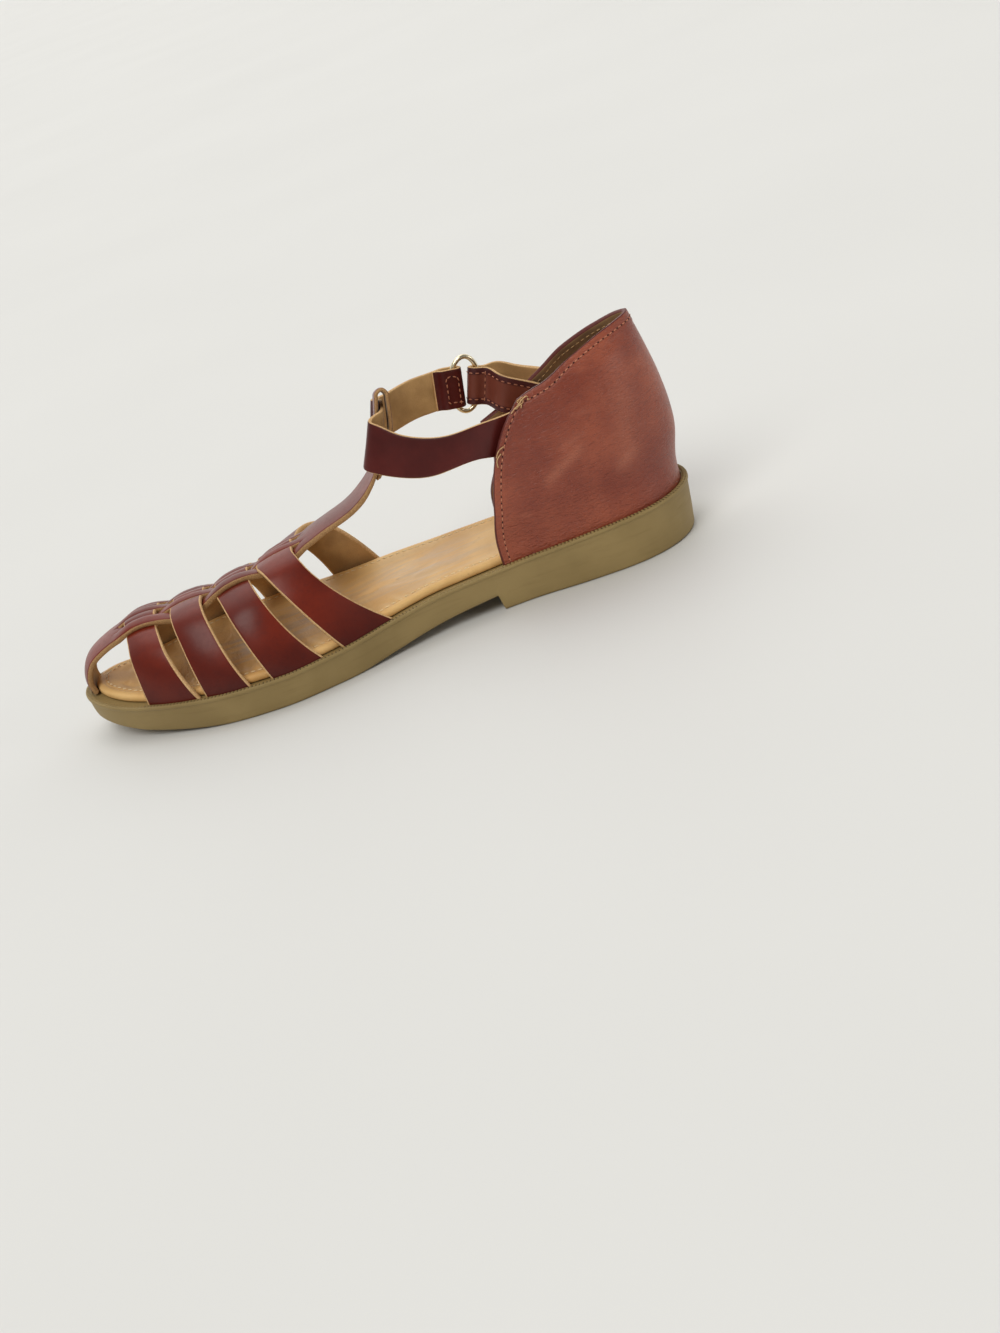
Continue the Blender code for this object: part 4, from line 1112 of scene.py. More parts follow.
def by_lines(x, y, table):
    """For each short listed line: distance off it, share along it, length, width and strength."""
    for _, x0, y0, dx, dy, width, amount in table.rows:
        length = math.hypot(dx, dy)
        along = ((x - x0) * dx + (y - y0) * dy) / length
        off = ((x - x0) * dy - (y - y0) * dx) / length
        ends = ease(along / (0.3 * length)) * ease((length - along) / (0.3 * length))
        yield off, along / length, length, width, amount * ends


def crease_relief(x, y, table):
    """Depth of listed creases: a soft trough along each bowed line, with a low lip beside it."""
    relief = np.zeros_like(x)
    for off, share, length, width, depth in by_lines(x, y, table):
        bow = 0.12 * length * np.sin(np.clip(share, 0, 1) * math.pi)
        off = (off - bow) / width
        relief += depth * (off ** 2 * 0.9 - 1.0) * np.exp(-off ** 2)
    return relief


# Rings of the insole's edge: inset from its own outline, rise from its underside
INSOLE_PROFILE = (
    (0.6, 0.0), (0.12, 0.25), (0.0, 0.8), (0.0, 1.6), (0.22, 2.25), (0.7, 2.7), (1.4, 2.93), (2.2, 2.98)
)
# Where the foot has pressed: from_heel, across, and how far each reaches along and across
BALL, HEEL, WAIST = (176, 0, 28, 26), (34, 0, 24, 15), (112, 4, 32, 17)


def make_insole():
    """Leather footbed: rounded edge, shallow dish, wrinkles where the foot bends it."""
    stations = loop_stations(280)
    rings = [outline_loop(stations, INSOLE_INSET + inset, lambda s, side, up=up: seat(s) + SEAT_GAP + up)
             for inset, up in INSOLE_PROFILE]
    around = len(stations)
    rim_count = len(rings)
    edge_ring = rings[-1]
    half = around // 2
    medial = edge_ring[1:half]
    lateral = edge_ring[:half:-1]
    columns = 76
    shares = np.linspace(0, 1, columns)[1:-1]
    inner = medial[:, None, :] * (1 - shares[None, :, None]) + lateral[:, None, :] * shares[None, :, None]
    from_side = np.minimum(shares, 1 - shares)[None, :] * np.linalg.norm(medial - lateral, axis=1)[:, None]
    from_tip = np.minimum(inner[..., 0] - edge_ring[:, 0].min(), edge_ring[:, 0].max() - inner[..., 0])
    inside = np.minimum(from_side, from_tip)
    heel_at = HEEL_AT - inner[..., 0]
    inner[..., 2] -= INSOLE_DISH * ease(inside / 11.0)
    inner[..., 2] -= 0.22 * np.exp(-((inside - 2.0) / 0.8) ** 2)
    inner[..., 2] += crease_relief(heel_at, inner[..., 1], INSOLE_WRINKLES) * ease(inside / 3.0)
    ball, heel, waist = (np.exp(-((heel_at - at) / reach) ** 2 - ((inner[..., 1] - across) / spread) ** 2)
                         for at, across, reach, spread in (BALL, HEEL, WAIST))
    inner[..., 2] -= 0.5 * ball + 0.4 * heel
    # Where the foot pressed: wear, and the place of the painted reflection on the footbed.
    wear_and_reflection_inner = np.clip(ball + heel + 0.9 * waist, 0, 1)
    vertices = np.vstack(rings + [inner.reshape(-1, 3)])
    start = rim_count * around
    grid = start + np.arange(inner.shape[0] * inner.shape[1]).reshape(inner.shape[:2])
    last = (rim_count - 1) * around
    grid = np.concatenate((last + np.arange(1, half)[:, None], grid,
                           (last + np.arange(around - 1, half, -1))[:, None]), axis=1)
    faces = between_rings(rim_count, around)
    for i in range(grid.shape[0] - 1):
        for j in range(grid.shape[1] - 1):
            faces.append((grid[i, j], grid[i + 1, j], grid[i + 1, j + 1], grid[i, j + 1]))
    faces.append((last, *grid[0][::-1]))
    faces.append((last + half, *grid[-1]))
    faces += across_ring(0, around)
    worn = np.concatenate((np.zeros(start), wear_and_reflection_inner.reshape(-1)))
    mesh = make_mesh("insole", vertices, faces, [INSOLE], attributes={"worn": worn})
    outward_faces(mesh)
    finish_piece(mesh, "insole", ["insole"], sharp=60.0)

    seam = loop_stations(150)
    level = SEAT_GAP + INSOLE_THICKNESS - SEAM_SUNK
    line = outline_loop(seam, INSOLE_INSET + SEAM_INSET, lambda s, side: seat(s) + level)
    beads("insole_stitches", [(line, np.tile(UP, (len(line), 1)), True)],
          FOOTBED_PITCH, FOOTBED_STITCH, FOOTBED_THREAD)


# ---------------------------------------------------------------- woven vamp and cross straps

def pinched(rows):
    """Draw both layers of the loop together above the ankle strap, as a pressed fold."""
    foot = VAMP.rows[-1, 1:3] - LOOP_LEAN * LOOP_RADIUS
    off = (rows[:, :2] - foot) @ LOOP_LEAN
    rise = (rows[:, :2] - foot) @ np.array((-LOOP_LEAN[1], LOOP_LEAN[0]))
    draw = PINCH * ease((rise - PINCH_FROM) / (PINCH_TO - PINCH_FROM))
    rows = rows.copy()
    rows[:, :2] -= (off * draw)[:, None] * LOOP_LEAN
    return rows


def vamp_stations():
    """Rows along the vamp: from_heel, height, half_width, arch, tilt, from toe to inner loop end."""
    rows = VAMP.rows[:, 1:]
    knots = chord_lengths(rows[:, :2])
    line = Spline(knots, rows)
    corner = 0.9
    path = list(line.at(edge_shares(knots[-1], corner, 1.15) * knots[-1])[:-3])
    top = path[-1][:2] - LOOP_LEAN * LOOP_RADIUS
    outward = np.array((-LOOP_LEAN[1], LOOP_LEAN[0]))
    for turn in np.linspace(0, math.pi, 15)[1:]:
        point = top + LOOP_RADIUS * (LOOP_LEAN * math.cos(turn) + outward * math.sin(turn))
        path.append(np.array((*point, *path[-1][2:])))
    inner = smooth(np.vstack((path[-1][:2], LOOP_INNER)), 30)[1:]
    path += [np.array((*point, *path[-1][2:])) for point in inner]
    return pinched(np.array(path))


VAMP_ROWS = vamp_stations()


def row_frames(rows):
    """Centres, outward normals and the way that a tilted row falls, in the plane of the centre line."""
    centres = rows[:, :2]
    tangents = np.gradient(centres, axis=0)
    tangents /= np.maximum(np.linalg.norm(tangents, axis=1), 1e-9)[:, None]
    normals = np.stack((tangents[:, 1], -tangents[:, 0]), axis=1)
    beyond = ease((SLITS_TO - rows[:, 0]) / 4.0)[:, None]
    along_strap = np.array((-LOOP_LEAN[1], LOOP_LEAN[0]))
    return centres, normals, (1 - beyond) * np.array((0.0, 1.0)) + beyond * along_strap


def vamp_surface(rows, share, lift):
    """Points of the vamp; share is -1 at the medial edge, 1 at the lateral one."""
    centres, normals, falls = row_frames(rows)
    half, arch, tilt = rows[:, 2:3], rows[:, 3:4], rows[:, 4:5]
    across = share * half
    rise = (lift - arch * share ** 2)[..., None] * normals[:, None, :]
    rise = rise - (tilt * across)[..., None] * falls[:, None, :]
    return place_all(centres[:, :1] + rise[..., 0], across, centres[:, 1:2] + rise[..., 1])


def over(strip, strap):
    """1 where the strip lies over the cross strap, -1 where it passes under it."""
    return 1.0 if (strip + strap) % 2 == 0 else -1.0


def strip_lift(from_heel, strip):
    """Rise and fall of one strip along the vamp as it passes over and under the cross straps."""
    knots, values = [SLITS_FROM + 3.0], [0.0]
    for k, strap in enumerate(CROSS_STRAPS.rows):
        centre, quarter = (strap[1] + strap[2]) / 2, (strap[1] - strap[2]) * 0.1
        knots += [centre + quarter, centre - quarter]
        values += [STRIP_LIFT * over(strip, k)] * 2
    knots.append(SLITS_TO - 2.0)
    values.append(0.0)
    knots, values = np.array(knots)[::-1], np.array(values)[::-1]
    inside = np.clip(from_heel, knots[0], knots[-1])
    return swing(inside, knots, values)


def make_vamp():
    """Toe band, strips, T-strap and its loop, cut from one piece of leather."""
    rows = VAMP_ROWS
    heel = rows[:, 0:1]
    half = rows[:, 2:3]
    run = chord_lengths(rows[:, :2])
    straight = int(np.argmax(rows[:, 0]))
    in_front = np.arange(len(rows))[:, None] < straight
    slit_front = (heel[:, 0] < SLITS_FROM) & ~in_front[:, 0]
    slit_rows = slit_front & (heel[:, 0] > SLITS_TO)
    from_slit_end = np.maximum(np.maximum(heel - SLITS_FROM, SLITS_TO - heel), 0.0)
    from_slit_end = np.where(in_front, PAST_SLITS, from_slit_end)
    opening = SLIT / 2 * np.sqrt(ease(np.minimum(SLITS_FROM - heel, heel - SLITS_TO) / SLIT_TAPER))
    opening = np.where(slit_rows[:, None], opening, 0.0)
    corner = 0.7
    wall = Wall()
    previous = None
    first_slit = int(np.argmax(slit_rows))
    last_slit = len(rows) - 1 - int(np.argmax(slit_rows[::-1]))
    for strip in range(STRIPS):
        left = -1 + 2 * strip / STRIPS
        right = left + 2 / STRIPS
        left_at = left * half + (opening if strip else 0.0)
        right_at = right * half - (opening if strip < STRIPS - 1 else 0.0)
        width = right_at - left_at
        close = EDGE_CROWD * corner
        inner = close[-1] + (width - 2 * close[-1]) * np.linspace(0, 1, 8)[None, 1:-1]
        offsets = np.concatenate((np.tile(close, (len(rows), 1)), inner, width - close[::-1]), axis=1)
        across = left_at + offsets
        share = across / half
        centred = 2 * offsets / width - 1
        lift = strip_lift(heel, strip)
        woven = ease(1 - from_slit_end / WOVEN_FADE)
        on_top = ease(lift / STRIP_LIFT)
        lift = lift - STRIP_PILLOW * woven * (0.35 + 0.65 * on_top) * centred ** 2
        lift = np.where(in_front, 0.0, lift)
        surface = vamp_surface(rows, share, np.broadcast_to(lift, share.shape))
        end = np.minimum(run[:, None], run[-1] - run[:, None])
        last = strip == STRIPS - 1
        own_edge = FAR if strip else offsets, width - offsets if last else FAR
        slit_edge = np.minimum(offsets if strip else FAR, FAR if last else width - offsets)
        slit_edge = np.hypot(slit_edge, from_slit_end * 1.5)
        edge = np.minimum(np.minimum(np.minimum(*own_edge), slit_edge), np.broadcast_to(end, share.shape))
        thick = np.interp(heel, (LOOP_FROM_HEEL, VAMP_FROM_HEEL), (STRAP_THICKNESS, VAMP_THICKNESS))
        thick = thick + (STRIP_THICKNESS - VAMP_THICKNESS) * woven
        numbers = -np.ones(share.shape, dtype=int)
        if previous is not None:
            joined = np.ones(len(rows), dtype=bool)
            joined[first_slit:last_slit + 1] = False
            numbers[joined, 0] = previous[joined, -1]
        previous = wall.grid(surface, thick / 2, thick / 2, edge, numbers=numbers)
    mesh = wall.build("vamp", [STRAP, FLESH, VAMP_CUT_SHADED], corner)
    outward_faces(mesh)
    finish_piece(mesh, "vamp", ["forefoot_upper"])


# Positions across the vamp, in its half widths, that shape a cross strap's rise and fall
WEAVE_FLAT = 0.07
WEAVE_SIDE, WEAVE_SETTLED, WEAVE_END = 1.25, 1.9, 2.6


def make_cross_strap(index):
    """One strap woven through the vamp's strips, lasted to the sole on both sides."""
    _, top_front, top_rear, *bases = CROSS_STRAPS.rows[index]
    straight = int(np.argmax(VAMP_ROWS[:, 0]))
    part = VAMP_ROWS[straight:]
    shares = np.linspace(0, 1, 5)
    heels = top_front + (top_rear - top_front) * shares
    rows = np.array([[np.interp(-s, -part[:, 0], part[:, k]) for k in range(5)] for s in heels])
    fronts = np.array([np.interp(-s, -part[:, 0], part[:, 1]) for s in (heels[0] + 1, heels[-1] - 1)])
    slope = math.atan2(fronts[1] - fronts[0], heels[0] - heels[-1] + 2)
    normal = np.array((math.sin(slope), math.cos(slope)))
    over_vamp = np.linspace(-1, 1, 13)
    centre_lines = []
    steps = 12
    for i, share in enumerate(shares):
        s, height, half, arch, tilt = rows[i]
        middle = []
        for w in over_vamp:
            shift = -arch * w * w * normal
            middle.append(place(s + shift[0], w * half, height + shift[1] - tilt * w * half))
        runs = {}
        for side, front, rear in ((MEDIAL, *bases[:2]), (LATERAL, *bases[2:])):
            top = middle[0] if side == MEDIAL else middle[-1]
            base_heel = front + (rear - front) * share
            heel, across = outline_point(base_heel, side, LASTING_INSET + STRAP_THICKNESS / 2)
            base = place(heel, across, seat(base_heel) + SEAT_GAP + 0.2)
            span = np.linalg.norm(base - top)
            fall = math.atan(2 * arch / half + side * tilt)
            sweep = base[0] - top[0]
            leave = np.array((sweep * (0.7 - 0.4 * share), side * math.cos(fall) * span,
                              -math.sin(fall) * span * LEAVE_DROP[side][index]))
            arrive = np.array((sweep * (1.3 + 0.7 * share), side * 0.10 * span,
                               -ARRIVE_DOWN[side][index] * span))
            t = np.linspace(0, 1, steps + 1)[1:, None]
            runs[side] = cubic(t, top, leave, base, arrive)
        centre_lines.append(np.vstack((runs[MEDIAL][::-1], middle, runs[LATERAL])))
    grid = np.array(centre_lines).transpose(1, 0, 2)
    length = chord_lengths(grid[:, 2])[-1]
    width = np.linalg.norm(grid[len(grid) // 2, 0] - grid[len(grid) // 2, -1])
    corner = 0.6
    along = edge_shares(length, corner, 0.8)
    across = edge_shares(width, corner, 0.9)
    dense = facing(refine(grid, along, across), UP)
    middle_row = dense[:, dense.shape[1] // 2]
    half_width = rows[2][2]
    position = middle_row[:, 1] / half_width
    walked = chord_lengths(middle_row)
    side_start = np.interp(-1.0, position, walked), np.interp(1.0, position, walked)
    beyond = np.maximum(side_start[0] - walked, walked - side_start[1]).clip(0)
    position = np.clip(position, -1, 1) * (1 + beyond / half_width)
    knots, values = [-WEAVE_END, -WEAVE_SETTLED], [0.0, 0.0]
    for strip in range(STRIPS):
        at = -1 + (2 * strip + 1) / STRIPS
        start = -WEAVE_SIDE if strip == 0 else at - WEAVE_FLAT
        stop = WEAVE_SIDE if strip == STRIPS - 1 else at + WEAVE_FLAT
        knots += [start, stop]
        values += [-STRAP_LIFT * over(strip, index)] * 2
    knots += [WEAVE_SETTLED, WEAVE_END]
    values += [0.0, 0.0]
    lift = swing(np.clip(position, -WEAVE_END, WEAVE_END), knots, values)
    _, over_run = run_both_ways(dense)
    width_here = over_run[:, -1:]
    from_side = np.minimum(over_run, width_here - over_run)
    crown = STRAP_CROWN * (1 - (2 * over_run / width_here - 1) ** 2)
    dense = dense + grid_normals(dense) * (lift[:, None] + crown)[..., None]
    wall = Wall()
    wall.grid(dense, CROSS_THICKNESS / 2, CROSS_THICKNESS / 2, from_side)
    name = f"cross_strap_{index + 1}"
    mesh = wall.build(name, [STRAP, FLESH, CUT], corner, cut_share=0.75)
    finish_piece(mesh, name, ["forefoot_upper"])


# ---------------------------------------------------------------- counter

def counter_point(around, share, side):
    """Point of the counter's outer face: around 0 at the back, 1 at the front edge; share 0 to 1 up."""
    name = "medial" if side == MEDIAL else "lateral"
    foot_front = COUNTER_FRONT[side].read("from_heel", 15.0)
    turn = min(around / COUNTER_ROUND_SHARE, 1.0) * math.pi / 2
    ahead = max(around - COUNTER_ROUND_SHARE, 0.0) / (1 - COUNTER_ROUND_SHARE)
    round_end = COUNTER_LEVELS.rows[0][3]
    foot_heel = round_end * (1 - math.cos(turn))
    foot_heel += (foot_front - round_end) * ahead
    foot = outline_point(foot_heel, side, LASTING_INSET)
    low = seat(foot_heel) + SEAT_GAP
    height = low + (COLLAR.read(name, around) - low) * share
    back = COUNTER_LEVELS.read("back", height)
    reach = COUNTER_LEVELS.read("round_length", height)
    wide = COUNTER_LEVELS.read(name, height)
    heel = back + reach * (1 - math.cos(turn))
    heel += (COUNTER_FRONT[side].read("from_heel", height) - back - reach) * ahead
    body = np.array((heel, side * wide * math.sin(turn)))
    rise = min(max((height - low - COUNTER_LASTED) / COUNTER_BLEND, 0.0), 1.0)
    s, y = foot + (body - foot) * ease(rise)
    return place(s, y, height)


COUNTER_CREASES = {
    MEDIAL: Table(
        "crease from_heel height run_heel run_height width depth",
        (1, 66, 44, -30, 12, 3.0, 1.0),
        (2, 62, 60, -24, 6, 2.4, 0.40),
        (3, 40, 66, -20, 4, 2.2, 0.35),
        (4, 34, 40, -16, 8, 3.0, 0.55),
        (5, 56, 34, -18, 3, 2.4, 0.35),
        (6, 28, 58, -14, -3, 2.2, 0.30),
    ),
    LATERAL: Table(
        "crease from_heel height run_heel run_height width depth",
        (1, 64, 40, -26, 7, 2.8, 0.55),
        (2, 52, 30, -20, 4, 2.4, 0.40),
        (3, 30, 52, -14, 6, 2.6, 0.40),
    ),
}
# Paler lines on the medial side: the second and third are rubbed places; the first is also a painted
# highlight along the long crease, the fourth a tall painted sheen band near the back.
COUNTER_SCUFFS_AND_SHEEN = Table(
    "scuff from_heel height run_heel run_height width strength",
    (1, 58, 42, -24, 13, 2.2, 0.6),
    (2, 30, 38, -15, 7, 2.4, 0.35),
    (3, 48, 54, -14, 4, 1.6, 0.30),
    (4, 25, 30, -10, 46, 5.0, 0.35),
)


def line_strength(x, y, table):
    """0 to 1 near short listed lines."""
    strength = sum(amount * np.exp(-(off / width) ** 2) for off, _, _, width, amount in by_lines(x, y, table))
    return np.clip(strength, 0, 1)


def counter_surface():
    """Dense grid of the counter's outer face, bottom to collar, medial front to lateral front."""
    around = np.concatenate((-np.linspace(1, 0, 22), np.linspace(0, 1, 22)[1:]))
    shares = np.concatenate(((0.0, 0.03, 0.06), np.linspace(0.1, 1, 16)))
    coarse = [[counter_point(abs(a), share, MEDIAL if a < 0 else LATERAL) for a in around]
              for share in shares]
    length, height = 190.0, 62.0
    corner = 0.9
    up = np.concatenate((np.linspace(0, 1 - corner / height, 84), 1 - EDGE_CROWD[2::-1] * corner / height))
    return refine(coarse, up, edge_shares(length, corner, 0.95)), corner


def inset_path(grid, normals, inset, start_row=0):
    """Line at an inset from a grid's first column, last row and last column, with its normals."""
    down, over_run = run_both_ways(grid)
    from_top = down[-1:] - down
    from_right = over_run[:, -1:] - over_run
    line, square = [], []

    def add(distances, points, ways):
        """The spot at the inset on one row or column, and the normal there."""
        for store, values in ((line, points), (square, ways)):
            store.append(np.array([np.interp(inset, distances, values[:, k]) for k in range(3)]))

    for i in range(start_row, grid.shape[0]):
        if np.interp(inset, over_run[i], from_top[i]) > inset:
            add(over_run[i], grid[i], normals[i])
    for j in range(grid.shape[1]):
        if min(over_run[-1, j], from_right[-1, j]) > inset:
            add(from_top[::-1, j], grid[::-1, j], normals[::-1, j])
    for i in range(grid.shape[0] - 1, start_row - 1, -1):
        if np.interp(inset, from_right[i, ::-1], from_top[i, ::-1]) > inset:
            add(from_right[i, ::-1], grid[i, ::-1], normals[i, ::-1])
    return np.array(line), np.array(square)


def make_counter():
    """Heel counter: wrinkled outer leather, folded edge with its hem stitched, suede lining."""
    grid, corner = counter_surface()
    grid = facing(grid, np.array((1.0, 0.0, 0.0)))
    down, over_run = run_both_ways(grid)
    edge = np.minimum(np.minimum(over_run, over_run[:, -1:] - over_run), down[-1:] - down)
    heel = HEEL_AT - grid[..., 0]
    height = grid[..., 2]
    medial = ease((-grid[..., 1]) / 6.0)
    relief = medial * crease_relief(heel, height, COUNTER_CREASES[MEDIAL])
    relief += (1 - medial) * crease_relief(heel, height, COUNTER_CREASES[LATERAL])
    relief *= ease(edge / 9.0)
    hem = HEM_RISE * (1 - ease((edge - HEM_WIDTH + 0.6) / 1.2))
    for inset, width, depth in HEM_GROOVES:
        hem -= depth * np.exp(-((edge - inset) / width) ** 2)
    # Where the paler lines lie: rubbed places, with painted highlight and sheen.
    scuff = line_strength(heel, height, COUNTER_SCUFFS_AND_SHEEN) * medial
    wall = Wall()
    wall.grid(grid, relief + hem, COUNTER_THICKNESS, edge, extra=scuff)
    mesh = wall.build("counter", [COUNTER, LINING, BINDING], corner, bulge=0.25)
    finish_piece(mesh, "counter", ["heel_counter"])
    normals = grid_normals(grid)
    line, square = inset_path(grid + normals * 0.12, normals, STITCH_INSET, start_row=2)
    beads("counter_stitches", [(line, square, False)], HEM_PITCH, (0.85, 0.3, 0.28),
          HEM_THREAD, shade_spot=(0.4, 0.32, 0.14))
    make_loose_threads(grid, normals, over_run, down)
    inside = grid - normals * (COUNTER_THICKNESS + 0.02)
    line, square = inset_path(inside, -normals, STITCH_INSET, start_row=2)
    beads("lining_stitches", [(line, square, False)], HEM_PITCH, (0.95, 0.22, 0.2),
          TAN_THREAD)


# Each thread is a few spots: away from the counter's front edge, down from its collar, out from its face
KNOT = (
    ((1.0, 6.5, 0.5), (2.6, 3.6, 1.3), (4.4, 3.0, 0.9), (3.2, 1.4, 1.3), (1.4, 2.4, 0.9)),
    ((2.0, 4.4, 0.7), (3.4, 2.2, 1.6), (5.6, 1.8, 1.1), (7.0, 3.0, 0.7)),
    ((3.4, 3.4, 0.9), (2.2, 1.2, 1.5), (0.6, 1.0, 1.2)),
    ((2.6, 4.8, 0.6), (4.2, 3.6, 1.3), (5.0, 5.4, 0.8)),
)
PULLED_THREADS = (
    ((2.6, 19.0, 0.5), (0.6, 20.5, 1.0), (0.4, 23.5, 0.9)),
    ((2.4, 22.0, 0.5), (0.8, 24.0, 1.1), (1.6, 27.0, 0.6)),
)


def make_loose_threads(grid, normals, over_run, down):
    """Knot where the hem's seam turns the counter's front corner, and threads pulled at its front edge."""
    from_front = over_run if grid[-1, 0, 1] < 0 else over_run[:, -1:] - over_run
    from_top = down[-1:] - down

    def on_counter(away_front, away_top, rise):
        miss = (from_front - away_front) ** 2 + (from_top - away_top) ** 2
        i, j = np.unravel_index(np.argmin(miss), miss.shape)
        return grid[i, j] + normals[i, j] * rise

    knot = [[on_counter(*spot) for spot in line] for line in KNOT]
    pulled = [[on_counter(*spot) for spot in line] for line in PULLED_THREADS]
    cord_piece("loose_threads", knot + pulled, THREAD_RADIUS, TAN_THREAD)


# ---------------------------------------------------------------- ankle strap, closure strap, ring

def ring_frame():
    """The way rearwards in the ring's plane and the plane's outward normal."""
    rearward = np.array((1.0, RING_PLANE_SLOPE, 0.0))
    rearward /= np.linalg.norm(rearward)
    return rearward, np.array((-rearward[1], rearward[0], 0.0))


def tilted(tilt):
    """Forward and upward ways in the ring's plane, turned by tilt."""
    rearward, _ = ring_frame()
    forward = -rearward * math.cos(tilt) - UP * math.sin(tilt)
    return forward, UP * math.cos(tilt) - rearward * math.sin(tilt)


def by_ring(tilt, ahead, offset, lift):
    """Point ahead of, outside and above the place where both straps meet inside the ring."""
    _, outward = ring_frame()
    forward, upward = tilted(tilt)
    return place(*STRAPS_MEET_AT) + forward * ahead + outward * offset + upward * lift


def edge_lines(table):
    """Points of a strap's top and low edges, out of its table."""
    tops = [place(*row[1:4]) for row in table.rows]
    lows = [place(*row[4:7]) for row in table.rows]
    return tops, lows


def fold_turn(nose, way, first_side, count=15):
    """Half circle of a strap folded back at its nose: (ahead, offset) from where straps meet."""
    turns = np.linspace(0, math.pi, count)
    return [(nose + way * FOLD_RADIUS * (1 - math.sin(turn)), first_side * FOLD_RADIUS * math.cos(turn))
            for turn in turns]


def ribbon_grid(lines):
    """Dense grid of a strap between its top and low edge lines."""
    lines = np.array(lines)
    length = chord_lengths(lines.mean(axis=1))[-1]
    width = np.linalg.norm(lines[:, 0] - lines[:, 1], axis=1).mean()
    return refine(lines, edge_shares(length, STRAP_CORNER, STRAP_STEP),
                  edge_shares(width, STRAP_CORNER, STRAP_CELL))


def strap_piece(name, grid, thickness, nodes, finish):
    """Closed strap from its middle surface, with the grain on the grid's front."""
    down, over_run = run_both_ways(grid)
    edge = np.minimum(np.minimum(over_run, over_run[:, -1:] - over_run), np.minimum(down, down[-1:] - down))
    half = np.broadcast_to(np.asarray(thickness, dtype=float), grid.shape[:2]) / 2
    wall = Wall()
    wall.grid(grid, half, half, edge)
    mesh = wall.build(name, [finish, FLESH, CUT], STRAP_CORNER)
    finish_piece(mesh, name, nodes)


def stitch_run(points, outward):
    """Path for beads through a few points on a surface that faces outward."""
    points = np.asarray(points, dtype=float)
    line = np.vstack([np.linspace(a, b, 6)[:-1] for a, b in zip(points, points[1:])] + [points[-1:]])
    return line, np.tile(outward, (len(line), 1)), False


def make_ankle_strap():
    """Strap from the medial counter round through the loop to the ring, folded back round its wire."""
    tops, lows = edge_lines(ANKLE_STRAP)
    half = STRAP_WIDTH / 2
    straight_end = ANKLE_NOSE + FOLD_RADIUS + FOLD_STRAIGHT
    outer = ((LAYERS_MEET_AHEAD, LAYER_OFFSET), (LAYERS_PART_AHEAD, FOLD_RADIUS), (straight_end, FOLD_RADIUS))
    for ahead, offset in outer:
        tops.append(by_ring(ANKLE_TILT, ahead, offset, half))
        lows.append(by_ring(ANKLE_TILT, ahead, offset, -half))
    lines = list(zip(smooth(tops, 150), smooth(lows, 150)))
    inner = fold_turn(ANKLE_NOSE, 1, 1)
    inner += [(ahead, -FOLD_RADIUS) for ahead in np.linspace(straight_end, LAYERS_PART_AHEAD, 3)]
    inner += [((LAYERS_PART_AHEAD + LAYERS_MEET_AHEAD) / 2, -(FOLD_RADIUS + LAYER_OFFSET) / 2)]
    inner += [(LAYERS_MEET_AHEAD, -LAYER_OFFSET), (FOLD_END_AHEAD, -LAYER_OFFSET)]
    lines += [(by_ring(ANKLE_TILT, *at, half), by_ring(ANKLE_TILT, *at, -half)) for at in inner]
    grid = facing(ribbon_grid(lines), np.array((0.0, -1.0, 0.0)), 0.15)
    strap_piece("ankle_strap", grid, STRAP_THICKNESS, ["ankle_strap"], DARK_STRAP)

    _, outward = ring_frame()
    face = FOLD_RADIUS + STRAP_THICKNESS / 2 + 0.1
    inside = stitch_run([by_ring(ANKLE_TILT, ahead, -face, lift) for ahead, lift in FOLD_BOX], -outward)
    outside = [stitch_run([by_ring(ANKLE_TILT, ahead, face, lift) for lift in FOLD_ROW_ENDS], outward)
               for ahead in FOLD_ROWS_AHEAD]
    beads("ankle_fold_stitches", [inside, *outside], FOLD_PITCH, FOLD_STITCH, HEM_THREAD,
          shade_spot=(0.24, 0.24, 0.12))


